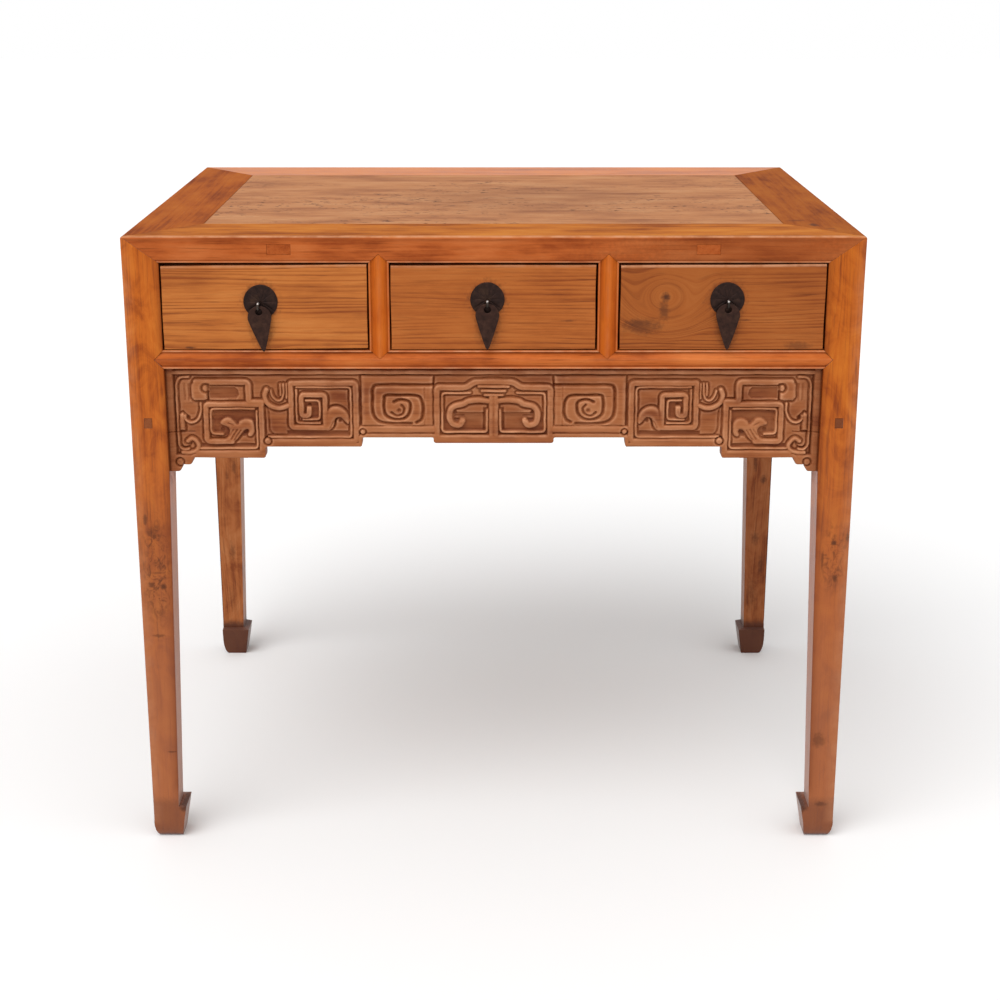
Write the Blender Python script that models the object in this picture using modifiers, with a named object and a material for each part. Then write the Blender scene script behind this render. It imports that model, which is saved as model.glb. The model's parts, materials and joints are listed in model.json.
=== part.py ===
"""Chinese side table with three drawers: framed top, mitred legs on hoof feet, stepped apron, iron pulls.

Metres, +Z up, the front faces -Y. The origin is on the floor, under the centre of the table's box.
"""

import math

import bmesh
import bpy
from mathutils import Matrix, Vector

# Overall size
WIDTH = 0.950
DEPTH = 0.665
HEIGHT = 0.852

# Clearances
JOINT_GAP = 0.0003
CUT_MARGIN = 0.005

# Framed top: mitred members round a floating panel, with two braces under it
TOP_EDGE_HEIGHT = 0.034
TOP_EDGE_ROUND = 0.003
TOP_LONG_MEMBER_WIDTH = 0.099
TOP_SIDE_MEMBER_WIDTH = 0.090
PANEL_THICKNESS = 0.009
PANEL_TONGUE_THICKNESS = 0.0045
PANEL_TONGUE_DEPTH = 0.008
PANEL_SEAM = 0.0005
BRACE_FROM_END = 0.201
BRACE_WIDTH = 0.036
BRACE_HEIGHT = 0.024
BRACE_TENON_WIDTH = 0.030
BRACE_TENON_HEIGHT = 0.013
BRACE_TENON_BELOW_PANEL = 0.0012

# Legs: straight beside the apron, tapered on their two inner faces below it, hoof turned inwards
LEG_SIZE = 0.047
ANKLE_SIZE = 0.0355
HOOF_HEIGHT = 0.046
HOOF_LIP = 0.010
HOOF_LIP_RISE = 0.0015
SOLE_REACH = 0.003
TOE_INSET = 0.009
TOE_HEIGHT = 0.026

# Drawer case: ridged rail and dividers with pointed ends, plain rails at the back and sides
OPENING_HEIGHT = 0.115
RAIL_HEIGHT = 0.025
RIDGE_RISE = 0.002
POINT_LENGTH = 0.0115
POINT_THICKNESS = 0.012
DIVIDER_WIDTH = 0.0265
DIVIDER_DEPTH = 0.040
PLAIN_RAIL_THICKNESS = 0.030
PLAIN_RAIL_SET_BACK = 0.004
RAIL_TENON_LENGTH = 0.020
RAIL_TENON_THICKNESS = 0.010
RAIL_TENON_SHOULDER = 0.007
STUB_TENON_LENGTH = 0.008
STUB_TENON_WIDTH = 0.014
TENON_WALL = 0.003
CASE_PANEL_THICKNESS = 0.008
CASE_PANEL_SET_BACK = 0.016
CASE_PANEL_TONGUE = 0.005
RUNNER_WIDTH = 0.060
RUNNER_THICKNESS = 0.018
RUNNER_BEARING = 0.026
GUIDE_HEIGHT = 0.020

# Aprons: the front one has blocks of different depth, the others a plain edge with corner steps
APRON_THICKNESS = 0.020
APRON_SET_BACK = 0.008
APRON_HOUSING = 0.005
APRON_CORNER_ROUND = 0.003
CORNER_SHARE = 0.4
APRON_CENTRE_HALF_WIDTH = 0.079
APRON_SHALLOW_WIDTH = 0.0943
APRON_OUTER_WIDTH = 0.093
APRON_CENTRE_HEIGHT = 0.1015
APRON_SHALLOW_HEIGHT = 0.092
APRON_SECOND_HEIGHT = 0.1057
APRON_OUTER_HEIGHT = 0.1223
SPANDREL_WIDTH = 0.034
SPANDREL_STEP_WIDTH = 0.0165
SPANDREL_STEP_DROP = 0.0095
PLAIN_APRON_HEIGHT = 0.095
APRON_TENON_WIDTH = 0.010
APRON_TENON_HEIGHT = 0.013
APRON_TENON_BELOW_RAIL = 0.073

# Drawers
DRAWER_TOP_GAP = 0.003
DRAWER_BOTTOM_GAP = 0.001
DRAWER_SIDE_GAP = 0.0015
DRAWER_FRONT_RECESS = 0.0015
DRAWER_FRONT_THICKNESS = 0.018
DRAWER_FRONT_ROUND = 0.0012
DRAWER_BACK_GAP = 0.040
DRAWER_BOX_INSET = 0.001
DRAWER_SIDE_HEIGHT = 0.088
DRAWER_SIDE_THICKNESS = 0.010
DRAWER_BOTTOM_THICKNESS = 0.007
DRAWER_BOTTOM_RAISE = 0.006
DRAWER_GROOVE_DEPTH = 0.004

# Pulls: round backplate, split pin with an eye, leaf-shaped drop; offsets and tilts as the smith left them
PULL_ABOVE_RAIL = 0.0675
PULL_OFFSETS = {"left": -0.005, "middle": -0.008, "right": 0.006}
PULL_LOWERED = {"left": 0.003, "middle": 0.0, "right": 0.0}
PIN_OFFSETS = {"left": -0.0025, "middle": 0.0, "right": 0.0005}
PLATE_RADIUS = 0.0222
PLATE_THICKNESS = 0.0016
PLATE_EDGE = 0.0012
EYE_RADIUS = 0.0042
EYE_WIRE_RADIUS = 0.0014
EYE_BELOW_PLATE_CENTRE = 0.005
PIN_SHAFT_RADIUS = 0.0016
PIN_END_LENGTH = 0.024
PIN_END_WIDTH = 0.004
PIN_END_THICKNESS = 0.0012
DROP_LENGTH = 0.061
DROP_WIDTH = 0.031
DROP_SHOULDER = 0.016
DROP_TIP = 0.0022
DROP_THICKNESS = 0.0018
DROP_HOLE_RADIUS = 0.0046
DROP_RIM = 0.0033
DROP_TAPER_POWER = 1.12
DROP_TILTS = {"left": 5.5, "middle": 0.0, "right": 0.0}

# Steps of the round stretches
TOE_STEPS = 5
ROUND_STEPS = 4
CORNER_STEPS = 3
CIRCLE_STEPS = 32
WIRE_STEPS = 10
EYE_STEPS = 20
DROP_STEPS = 10
HOLE_STEPS = 16

# Planes and heights worked out from the sizes above
pull_stand_out = PLATE_THICKNESS + 2 * (EYE_RADIUS + EYE_WIRE_RADIUS) + 2 * JOINT_GAP - DRAWER_FRONT_RECESS
front_y = -(DEPTH + pull_stand_out) / 2 + pull_stand_out
back_y = front_y + DEPTH
half_width = WIDTH / 2
inner_x = half_width - LEG_SIZE
inner_front_y = front_y + LEG_SIZE
inner_back_y = back_y - LEG_SIZE
top_underside = HEIGHT - TOP_EDGE_HEIGHT
panel_underside = HEIGHT - PANEL_THICKNESS
rail_top = top_underside - OPENING_HEIGHT
rail_bottom = rail_top - RAIL_HEIGHT
apron_top = rail_bottom - JOINT_GAP
apron_lowest = apron_top - APRON_OUTER_HEIGHT - 2 * SPANDREL_STEP_DROP
opening_width = (2 * inner_x - 2 * DIVIDER_WIDTH) / 3
divider_x = (opening_width + DIVIDER_WIDTH) / 2
tenon_top = rail_top - CASE_PANEL_TONGUE - TENON_WALL
tenon_bottom = rail_bottom + RAIL_TENON_SHOULDER
side_rail_x = half_width - PLAIN_RAIL_SET_BACK - PLAIN_RAIL_THICKNESS / 2
side_tenon_low_x = side_rail_x - RAIL_TENON_THICKNESS / 2
long_tenon_x = side_tenon_low_x - TENON_WALL
back_rail_y = back_y - PLAIN_RAIL_SET_BACK - PLAIN_RAIL_THICKNESS / 2
back_rail_face_y = back_rail_y - PLAIN_RAIL_THICKNESS / 2
side_rail_face_x = side_rail_x - PLAIN_RAIL_THICKNESS / 2

SIDES = {"left": -1, "right": 1}
ENDS = {"front": -1, "back": 1}


# Scene, collections and materials

def clear_scene():
    for obj in list(bpy.data.objects):
        bpy.data.objects.remove(obj, do_unlink=True)


def new_collection(name):
    collection = bpy.data.collections.new(name)
    bpy.context.scene.collection.children.link(collection)
    return collection


def finish_of(name, colour, roughness, metallic=0.0):
    material = bpy.data.materials.new(name)
    material.use_nodes = True
    shader = material.node_tree.nodes["Principled BSDF"]
    shader.inputs["Base Color"].default_value = (*colour, 1.0)
    shader.inputs["Roughness"].default_value = roughness
    shader.inputs["Metallic"].default_value = metallic
    return material


clear_scene()
PARTS = new_collection("side_table")
CUTTERS = new_collection("cutters")
FRAME_WOOD = finish_of("frame_elm", (0.40, 0.135, 0.042), 0.42)
PANEL_WOOD = finish_of("panel_elm", (0.42, 0.20, 0.09), 0.45)
DRAWER_WOOD = finish_of("drawer_front_elm", (0.40, 0.16, 0.048), 0.45)
APRON_WOOD = finish_of("apron_elm", (0.27, 0.10, 0.042), 0.5)
INNER_WOOD = finish_of("inner_softwood", (0.46, 0.29, 0.15), 0.7)
IRON = finish_of("pull_iron", (0.035, 0.028, 0.022), 0.5, 0.8)


# Building blocks

def add_part(name, mesh, location, finish, parent=None):
    obj = bpy.data.objects.new(name, mesh)
    mesh.materials.append(finish)
    PARTS.objects.link(obj)
    obj.parent = parent
    obj.location = Vector(location) - (parent.location if parent else Vector())
    return obj


def add_cutter(name, mesh, location):
    obj = bpy.data.objects.new(name, mesh)
    CUTTERS.objects.link(obj)
    obj.location = location
    obj.hide_render = True
    obj.display_type = "WIRE"
    return obj


def apply_boolean(target, tool, operation="DIFFERENCE"):
    modifier = target.modifiers.new(tool.name, "BOOLEAN")
    modifier.operation = operation
    modifier.solver = "EXACT"
    modifier.object = tool


def box_shape(name, low, high):
    """A box's mesh about its own centre, and where that centre is."""
    low, high = Vector(low), Vector(high)
    form = bmesh.new()
    bmesh.ops.create_cube(form, size=1.0)
    bmesh.ops.scale(form, vec=high - low, verts=form.verts)
    mesh = bpy.data.meshes.new(name)
    form.to_mesh(mesh)
    form.free()
    return mesh, (low + high) / 2


def box(name, low, high, finish, parent=None):
    return add_part(name, *box_shape(name, low, high), finish, parent)


def box_cutter(name, low, high, grow=0.0):
    margin = Vector((grow, grow, grow))
    return add_cutter(name, *box_shape(name, Vector(low) - margin, Vector(high) + margin))


def span(a, b):
    """The two ends of a stretch, lower one first."""
    return min(a, b), max(a, b)


def house(targets, name, low, high):
    """Cuts the room that a box-shaped tenon or edge needs out of the pieces it enters."""
    tool = box_cutter(name + "_room", low, high, JOINT_GAP)
    for target in targets:
        apply_boolean(target, tool)


def add_tenon(target, name, low, high, targets):
    """Joins a tenon to its piece and cuts its mortise in the others."""
    apply_boolean(target, box_cutter(name, low, high), "UNION")
    house(targets, name, low, high)


PLANES = {
    "XY": Matrix.Identity(4),
    "XZ": Matrix(((1, 0, 0, 0), (0, 0, -1, 0), (0, 1, 0, 0), (0, 0, 0, 1))),
    "YZ": Matrix(((0, 0, 1, 0), (1, 0, 0, 0), (0, 1, 0, 0), (0, 0, 0, 1))),
}
NORMALS = {"XY": Vector((0, 0, 1)), "XZ": Vector((0, 1, 0)), "YZ": Vector((1, 0, 0))}


def prism_shape(name, plane, outlines, start, end):
    """Closed outlines in a plane, filled and drawn out from start to end along the third axis."""
    start, end = span(start, end)
    curve = bpy.data.curves.new(name, "CURVE")
    curve.dimensions = "2D"
    curve.fill_mode = "BOTH"
    curve.extrude = (end - start) / 2
    for outline in outlines:
        spline = curve.splines.new("POLY")
        spline.points.add(len(outline) - 1)
        for point, (a, b) in zip(spline.points, outline):
            point.co = (a, b, 0.0, 1.0)
        spline.use_cyclic_u = True
    source = bpy.data.objects.new(name, curve)
    bpy.context.scene.collection.objects.link(source)
    graph = bpy.context.evaluated_depsgraph_get()
    mesh = bpy.data.meshes.new_from_object(source.evaluated_get(graph))
    bpy.data.objects.remove(source, do_unlink=True)
    bpy.data.curves.remove(curve)
    form = bmesh.new()
    form.from_mesh(mesh)
    bmesh.ops.remove_doubles(form, verts=form.verts, dist=1e-6)
    bmesh.ops.recalc_face_normals(form, faces=form.faces)
    form.to_mesh(mesh)
    form.free()
    mesh.name = name
    mesh.transform(PLANES[plane])
    return mesh, NORMALS[plane] * (start + end) / 2


def prism(name, plane, outlines, start, end, finish, parent=None):
    return add_part(name, *prism_shape(name, plane, outlines, start, end), finish, parent)


def prism_cutter(name, plane, outlines, start, end):
    return add_cutter(name, *prism_shape(name, plane, outlines, start, end))


def rod_cutter(name, radius, start_y, end_y, x, z, steps):
    """A round bar along Y."""
    form = bmesh.new()
    bmesh.ops.create_cone(form, cap_ends=True, segments=steps, radius1=radius, radius2=radius,
                          depth=end_y - start_y)
    mesh = bpy.data.meshes.new(name)
    form.to_mesh(mesh)
    form.free()
    mesh.transform(Matrix.Rotation(math.radians(90), 4, "X"))
    return add_cutter(name, mesh, (x, (start_y + end_y) / 2, z))


def rounded(outline, radius):
    """The outline with each corner replaced by a short curve."""
    points = []
    for index, corner in enumerate(outline):
        corner = Vector(corner)
        before = Vector(outline[index - 1]) - corner
        after = Vector(outline[(index + 1) % len(outline)]) - corner
        reach = min(radius, CORNER_SHARE * before.length, CORNER_SHARE * after.length)
        first = corner + before.normalized() * reach
        last = corner + after.normalized() * reach
        for step in range(CORNER_STEPS + 1):
            t = step / CORNER_STEPS
            points.append(first * (1 - t) ** 2 + corner * 2 * t * (1 - t) + last * t ** 2)
    return [tuple(point) for point in points]


# Legs

mitre_top = HEIGHT - TOP_EDGE_ROUND


mitre_slope = TOP_EDGE_HEIGHT / LEG_SIZE
mitre_inset = TOP_EDGE_ROUND / mitre_slope


def leg_profile():
    """Outline of a leg from one side: distance in from the outer face, and height."""
    points = []
    for step in range(TOE_STEPS + 1):
        angle = math.pi / 2 * step / TOE_STEPS
        points.append((TOE_INSET * (1 - math.sin(angle)), TOE_HEIGHT * (1 - math.cos(angle))))
    points += [
        (0.0, mitre_top),
        (mitre_inset, mitre_top),
        (LEG_SIZE, top_underside),
        (LEG_SIZE, apron_lowest),
        (ANKLE_SIZE, HOOF_HEIGHT + HOOF_LIP_RISE),
        (ANKLE_SIZE + HOOF_LIP, HOOF_HEIGHT),
        (ANKLE_SIZE + SOLE_REACH, 0.0),
    ]
    return points


def mitre_profile():
    """Room for the leg's mitred head in the top frame, from one side."""
    wall = LEG_SIZE + JOINT_GAP
    return [
        (-CUT_MARGIN, top_underside - CUT_MARGIN),
        (wall, top_underside - CUT_MARGIN),
        (wall, HEIGHT + JOINT_GAP - mitre_slope * wall),
        (mitre_inset, mitre_top + JOINT_GAP),
        (-CUT_MARGIN, mitre_top + JOINT_GAP),
    ]


def leg_solids(side, end, profile):
    """One outline seen from the front and from the side, and the stretches that they are drawn through."""
    outer_x = side * half_width
    outer_y = back_y if end > 0 else front_y
    faces_x = [(outer_x - side * u, z) for u, z in profile]
    faces_y = [(outer_y - end * v, z) for v, z in profile]
    reach_x = (outer_x + side * 2 * CUT_MARGIN, outer_x - side * (LEG_SIZE + HOOF_LIP + CUT_MARGIN))
    reach_y = (outer_y + end * 2 * CUT_MARGIN, outer_y - end * (LEG_SIZE + HOOF_LIP + CUT_MARGIN))
    return faces_x, reach_y, faces_y, reach_x


def make_leg(side_name, end_name):
    name = "leg_%s_%s" % (end_name, side_name)
    faces_x, reach_y, faces_y, reach_x = leg_solids(SIDES[side_name], ENDS[end_name], leg_profile())
    leg = prism(name, "XZ", [faces_x], *reach_y, FRAME_WOOD)
    apply_boolean(leg, prism_cutter(name + "_depth", "YZ", [faces_y], *reach_x), "INTERSECT")
    return leg


def make_head_room(side_name, end_name):
    name = "head_room_%s_%s" % (end_name, side_name)
    faces_x, reach_y, faces_y, reach_x = leg_solids(SIDES[side_name], ENDS[end_name], mitre_profile())
    room = prism_cutter(name, "XZ", [faces_x], *reach_y)
    apply_boolean(room, prism_cutter(name + "_depth", "YZ", [faces_y], *reach_x), "INTERSECT")
    return room


legs = {(end, side): make_leg(side, end) for end in ENDS for side in SIDES}
head_rooms = {(end, side): make_head_room(side, end) for end in ENDS for side in SIDES}


# Framed top

def member_section(width):
    """Section of a top member: distance in from its outer face, and height."""
    points = [(0.0, top_underside)]
    for step in range(ROUND_STEPS + 1):
        angle = math.pi / 2 * step / ROUND_STEPS
        points.append((TOP_EDGE_ROUND * (1 - math.cos(angle)), mitre_top + TOP_EDGE_ROUND * math.sin(angle)))
    groove_top = panel_underside + PANEL_TONGUE_THICKNESS + JOINT_GAP
    groove_bottom = panel_underside - JOINT_GAP
    groove_end = width - PANEL_TONGUE_DEPTH - JOINT_GAP
    points += [
        (width, HEIGHT),
        (width, groove_top),
        (groove_end, groove_top),
        (groove_end, groove_bottom),
        (width, groove_bottom),
        (width, top_underside),
    ]
    return points


def mitred_plan(low, high, outer, inwards, width, run):
    """Plan of a member between its two mitres, which run back by so much per unit across the member."""
    near = -CUT_MARGIN
    far = width + CUT_MARGIN
    return [
        (low + run * near + JOINT_GAP, outer + inwards * near),
        (high - run * near - JOINT_GAP, outer + inwards * near),
        (high - run * far - JOINT_GAP, outer + inwards * far),
        (low + run * far + JOINT_GAP, outer + inwards * far),
    ]


def make_top_member(name, plane, section, reach, plan, corners):
    member = prism(name, plane, [section], *reach, FRAME_WOOD)
    heights = (top_underside - CUT_MARGIN, HEIGHT + CUT_MARGIN)
    apply_boolean(member, prism_cutter(name + "_mitres", "XY", [plan], *heights), "INTERSECT")
    for corner in corners:
        apply_boolean(member, head_rooms[corner])
    return member


def make_top_members():
    members = {}
    run = TOP_SIDE_MEMBER_WIDTH / TOP_LONG_MEMBER_WIDTH
    for end_name, end in ENDS.items():
        outer = back_y if end > 0 else front_y
        section = [(outer - end * v, z) for v, z in member_section(TOP_LONG_MEMBER_WIDTH)]
        plan = mitred_plan(-half_width, half_width, outer, -end, TOP_LONG_MEMBER_WIDTH, run)
        members[end_name] = make_top_member(
            "top_frame_" + end_name, "YZ", section, (-half_width - CUT_MARGIN, half_width + CUT_MARGIN),
            plan, [(end_name, side) for side in SIDES])
    for side_name, side in SIDES.items():
        outer = side * half_width
        section = [(outer - side * u, z) for u, z in member_section(TOP_SIDE_MEMBER_WIDTH)]
        plan = [(x, y) for y, x in mitred_plan(front_y, back_y, outer, -side, TOP_SIDE_MEMBER_WIDTH, 1 / run)]
        members[side_name] = make_top_member(
            "top_frame_" + side_name, "XZ", section, (front_y - CUT_MARGIN, back_y + CUT_MARGIN),
            plan, [(end, side_name) for end in ENDS])
    return members


def make_top_panel():
    seen_x = half_width - TOP_SIDE_MEMBER_WIDTH - PANEL_SEAM
    seen_front = front_y + TOP_LONG_MEMBER_WIDTH + PANEL_SEAM
    seen_back = back_y - TOP_LONG_MEMBER_WIDTH - PANEL_SEAM
    tongue = PANEL_TONGUE_DEPTH
    tongue_top = panel_underside + PANEL_TONGUE_THICKNESS
    panel = box("top_panel", (-seen_x - tongue, seen_front - tongue, panel_underside),
                (seen_x + tongue, seen_back + tongue, tongue_top), PANEL_WOOD)
    face = box_cutter("top_panel_face", (-seen_x, seen_front, panel_underside + PANEL_TONGUE_THICKNESS / 2),
                      (seen_x, seen_back, HEIGHT))
    apply_boolean(panel, face, "UNION")
    return panel


def make_brace(side_name):
    name = "top_brace_" + side_name
    x = SIDES[side_name] * (half_width - BRACE_FROM_END)
    top = panel_underside - JOINT_GAP
    half = BRACE_WIDTH / 2
    brace = box(name, (x - half, front_y + TOP_LONG_MEMBER_WIDTH + JOINT_GAP, top - BRACE_HEIGHT),
                (x + half, back_y - TOP_LONG_MEMBER_WIDTH - JOINT_GAP, top), INNER_WOOD)
    tenon_half = BRACE_TENON_WIDTH / 2
    tenon_high = panel_underside - BRACE_TENON_BELOW_PANEL
    low = (x - tenon_half, front_y, tenon_high - BRACE_TENON_HEIGHT)
    high = (x + tenon_half, back_y, tenon_high)
    add_tenon(brace, name + "_tenon", low, high, [top_members["front"], top_members["back"]])
    return brace


top_members = make_top_members()
top_panel = make_top_panel()
braces = {side: make_brace(side) for side in SIDES}


# Ridged rail and dividers

def pointed_outline(start, end, low, high, grow=0.0):
    """A bar with pointed ends: along it, and across it."""
    middle = (low + high) / 2
    tip = POINT_LENGTH + 2 * grow
    return [
        (start, low - grow),
        (end, low - grow),
        (end + tip, middle),
        (end, high + grow),
        (start, high + grow),
        (start - tip, middle),
    ]


def ridged_section(low, high, depth):
    """Across the bar, and back from the front plane: the ridge is flush, its two edges lie lower."""
    return [
        ((low + high) / 2, front_y),
        (high, front_y + RIDGE_RISE),
        (high, front_y + depth),
        (low, front_y + depth),
        (low, front_y + RIDGE_RISE),
    ]


point_back_y = front_y + POINT_THICKNESS


def make_drawer_rail():
    start, end = -inner_x + JOINT_GAP, inner_x - JOINT_GAP
    reach = (front_y - CUT_MARGIN, inner_front_y + CUT_MARGIN)
    rail = prism("front_drawer_rail", "XZ", [pointed_outline(start, end, rail_bottom, rail_top)],
                 *reach, FRAME_WOOD)
    section = [(y, z) for z, y in ridged_section(rail_bottom, rail_top, LEG_SIZE)]
    ridge = prism_cutter("drawer_rail_section", "YZ", [section], -half_width, half_width)
    apply_boolean(rail, ridge, "INTERSECT")
    notch = prism_cutter("drawer_rail_notch", "XZ",
                         [pointed_outline(start, end, rail_bottom, rail_top, JOINT_GAP)],
                         front_y - CUT_MARGIN, point_back_y + JOINT_GAP)
    tenon_y = (point_back_y + inner_front_y) / 2
    for side_name, side in SIDES.items():
        leg = legs["front", side_name]
        shoulder = span(side * end, side * half_width)
        behind = box_cutter("drawer_rail_shoulder_" + side_name,
                            (shoulder[0], point_back_y, rail_bottom - CUT_MARGIN),
                            (shoulder[1], inner_front_y + CUT_MARGIN, rail_top + CUT_MARGIN))
        apply_boolean(rail, behind)
        apply_boolean(leg, notch)
        reach_x = span(side * (inner_x - RAIL_TENON_LENGTH), side * long_tenon_x)
        add_tenon(rail, "drawer_rail_tenon_" + side_name,
                  (reach_x[0], tenon_y - RAIL_TENON_THICKNESS / 2, tenon_bottom),
                  (reach_x[1], tenon_y + RAIL_TENON_THICKNESS / 2, tenon_top), [leg])
    return rail


def make_divider(side_name):
    name = "divider_" + side_name
    x = SIDES[side_name] * divider_x
    low, high = x - DIVIDER_WIDTH / 2, x + DIVIDER_WIDTH / 2
    start, end = rail_top + JOINT_GAP, top_underside - JOINT_GAP
    back = front_y + DIVIDER_DEPTH
    outline = [(b, a) for a, b in pointed_outline(start, end, low, high)]
    divider = prism(name, "XZ", [outline], front_y - CUT_MARGIN, back + CUT_MARGIN, FRAME_WOOD)
    section = ridged_section(low, high, DIVIDER_DEPTH)
    apply_boolean(divider, prism_cutter(name + "_section", "XY", [section], rail_bottom, HEIGHT), "INTERSECT")
    notch_outline = [(b, a) for a, b in pointed_outline(start, end, low, high, JOINT_GAP)]
    notch = prism_cutter(name + "_notch", "XZ", [notch_outline],
                         front_y - CUT_MARGIN, point_back_y + JOINT_GAP)
    tenon_y = (point_back_y + back) / 2
    half_tenon = STUB_TENON_WIDTH / 2
    neighbours = {"rail": (drawer_rail, start, -1), "top": (top_members["front"], end, 1)}
    for label, (neighbour, shoulder, way) in neighbours.items():
        past = span(shoulder, shoulder + way * 2 * POINT_LENGTH)
        behind = box_cutter("%s_shoulder_%s" % (name, label),
                            (low - CUT_MARGIN, point_back_y, past[0]),
                            (high + CUT_MARGIN, back + CUT_MARGIN, past[1]))
        apply_boolean(divider, behind)
        apply_boolean(neighbour, notch)
        reach = span(shoulder - way * STUB_TENON_LENGTH, shoulder + way * STUB_TENON_LENGTH)
        add_tenon(divider, "%s_tenon_%s" % (name, label),
                  (x - half_tenon, tenon_y - RAIL_TENON_THICKNESS / 2, reach[0]),
                  (x + half_tenon, tenon_y + RAIL_TENON_THICKNESS / 2, reach[1]), [neighbour])
    return divider


drawer_rail = make_drawer_rail()
dividers = {side: make_divider(side) for side in SIDES}


# Plain rails, case panels, runners and guides

def make_back_rail():
    half = PLAIN_RAIL_THICKNESS / 2
    end = inner_x - JOINT_GAP
    rail = box("back_rail", (-end, back_rail_y - half, rail_bottom),
               (end, back_rail_y + half, rail_top), FRAME_WOOD)
    for side_name, side in SIDES.items():
        reach = span(side * (inner_x - RAIL_TENON_LENGTH), side * long_tenon_x)
        add_tenon(rail, "back_rail_tenon_" + side_name,
                  (reach[0], back_rail_y - RAIL_TENON_THICKNESS / 2, tenon_bottom),
                  (reach[1], back_rail_y + RAIL_TENON_THICKNESS / 2, tenon_top), [legs["back", side_name]])
    return rail


def make_side_rail(side_name):
    name = "side_rail_" + side_name
    x = SIDES[side_name] * side_rail_x
    half = PLAIN_RAIL_THICKNESS / 2
    rail = box(name, (x - half, inner_front_y + JOINT_GAP, rail_bottom),
               (x + half, inner_back_y - JOINT_GAP, rail_top), FRAME_WOOD)
    faces = {"front": (inner_front_y, -1), "back": (inner_back_y, 1)}
    for end_name, (face, way) in faces.items():
        reach = span(face - way * RAIL_TENON_LENGTH, face + way * RAIL_TENON_LENGTH)
        add_tenon(rail, "%s_tenon_%s" % (name, end_name),
                  (x - RAIL_TENON_THICKNESS / 2, reach[0], tenon_bottom),
                  (x + RAIL_TENON_THICKNESS / 2, reach[1], tenon_top), [legs[end_name, side_name]])
    return rail


def make_case_panels():
    """Boards that close the drawer case, their edges in grooves all round."""
    low_z, high_z = rail_top - CASE_PANEL_TONGUE, top_underside + CASE_PANEL_TONGUE
    outer = back_y - CASE_PANEL_SET_BACK
    reach = inner_x + CASE_PANEL_TONGUE
    low, high = (-reach, outer - CASE_PANEL_THICKNESS, low_z), (reach, outer, high_z)
    box("back_panel", low, high, INNER_WOOD)
    house([legs["back", side] for side in SIDES] + [back_rail, top_members["back"]], "back_panel", low, high)
    for side_name, side in SIDES.items():
        faces = span(side * (half_width - CASE_PANEL_SET_BACK),
                     side * (half_width - CASE_PANEL_SET_BACK - CASE_PANEL_THICKNESS))
        low = (faces[0], inner_front_y - CASE_PANEL_TONGUE, low_z)
        high = (faces[1], inner_back_y + CASE_PANEL_TONGUE, high_z)
        box("side_panel_" + side_name, low, high, FRAME_WOOD)
        neighbours = [legs[end, side_name] for end in ENDS]
        neighbours += [side_rails[side_name], top_members[side_name]]
        house(neighbours, "side_panel_" + side_name, low, high)


def make_runners():
    """Runners under the drawers' sides, and the guides that keep the drawers straight."""
    low_z = rail_top - RUNNER_THICKNESS
    guide_z = (rail_top + JOINT_GAP, rail_top + GUIDE_HEIGHT)
    front, back = inner_front_y + JOINT_GAP, back_rail_face_y - JOINT_GAP
    stub_z = ((low_z + rail_top) / 2 - STUB_TENON_LENGTH / 2, (low_z + rail_top) / 2 + STUB_TENON_LENGTH / 2)
    for side_name, side in SIDES.items():
        x = side * divider_x
        name = "runner_middle_" + side_name
        half = RUNNER_WIDTH / 2
        runner = box(name, (x - half, front, low_z), (x + half, back, rail_top), INNER_WOOD)
        for end_name, rail, face, way in (("front", drawer_rail, front, -1), ("back", back_rail, back, 1)):
            reach = span(face - way * STUB_TENON_LENGTH, face + way * STUB_TENON_LENGTH)
            add_tenon(runner, "%s_tenon_%s" % (name, end_name),
                      (x - STUB_TENON_WIDTH, reach[0], stub_z[0]),
                      (x + STUB_TENON_WIDTH, reach[1], stub_z[1]), [rail])
        half = DIVIDER_WIDTH / 2
        box("guide_middle_" + side_name, (x - half, front_y + DIVIDER_DEPTH + JOINT_GAP, guide_z[0]),
            (x + half, back, guide_z[1]), INNER_WOOD)
        outer = side_rail_face_x - JOINT_GAP
        faces = span(side * (inner_x - RUNNER_BEARING), side * outer)
        box("runner_side_" + side_name, (faces[0], front, low_z),
            (faces[1], inner_back_y - JOINT_GAP, rail_top), INNER_WOOD)
        faces = span(side * inner_x, side * outer)
        box("guide_side_" + side_name, (faces[0], front, guide_z[0]),
            (faces[1], inner_back_y - JOINT_GAP, guide_z[1]), INNER_WOOD)


back_rail = make_back_rail()
side_rails = {side: make_side_rail(side) for side in SIDES}
make_case_panels()
make_runners()


# Aprons

def front_apron_outline():
    """Lower edge from the middle to the leg, stepping down block by block, then mirrored."""
    centre = APRON_CENTRE_HALF_WIDTH
    shallow = centre + APRON_SHALLOW_WIDTH
    spandrel = inner_x - SPANDREL_WIDTH
    second = spandrel - APRON_OUTER_WIDTH
    step = spandrel + SPANDREL_STEP_WIDTH
    end = inner_x + APRON_HOUSING
    outer_z = apron_top - APRON_OUTER_HEIGHT
    right = [
        (centre, apron_top - APRON_CENTRE_HEIGHT),
        (centre, apron_top - APRON_SHALLOW_HEIGHT),
        (shallow, apron_top - APRON_SHALLOW_HEIGHT),
        (shallow, apron_top - APRON_SECOND_HEIGHT),
        (second, apron_top - APRON_SECOND_HEIGHT),
        (second, outer_z),
        (spandrel, outer_z),
        (spandrel, outer_z - SPANDREL_STEP_DROP),
        (step, outer_z - SPANDREL_STEP_DROP),
        (step, apron_lowest),
    ]
    right += [(end, apron_lowest), (end, apron_top)]
    left = [(-x, z) for x, z in reversed(right)]
    return rounded(right + left, APRON_CORNER_ROUND)


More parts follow.
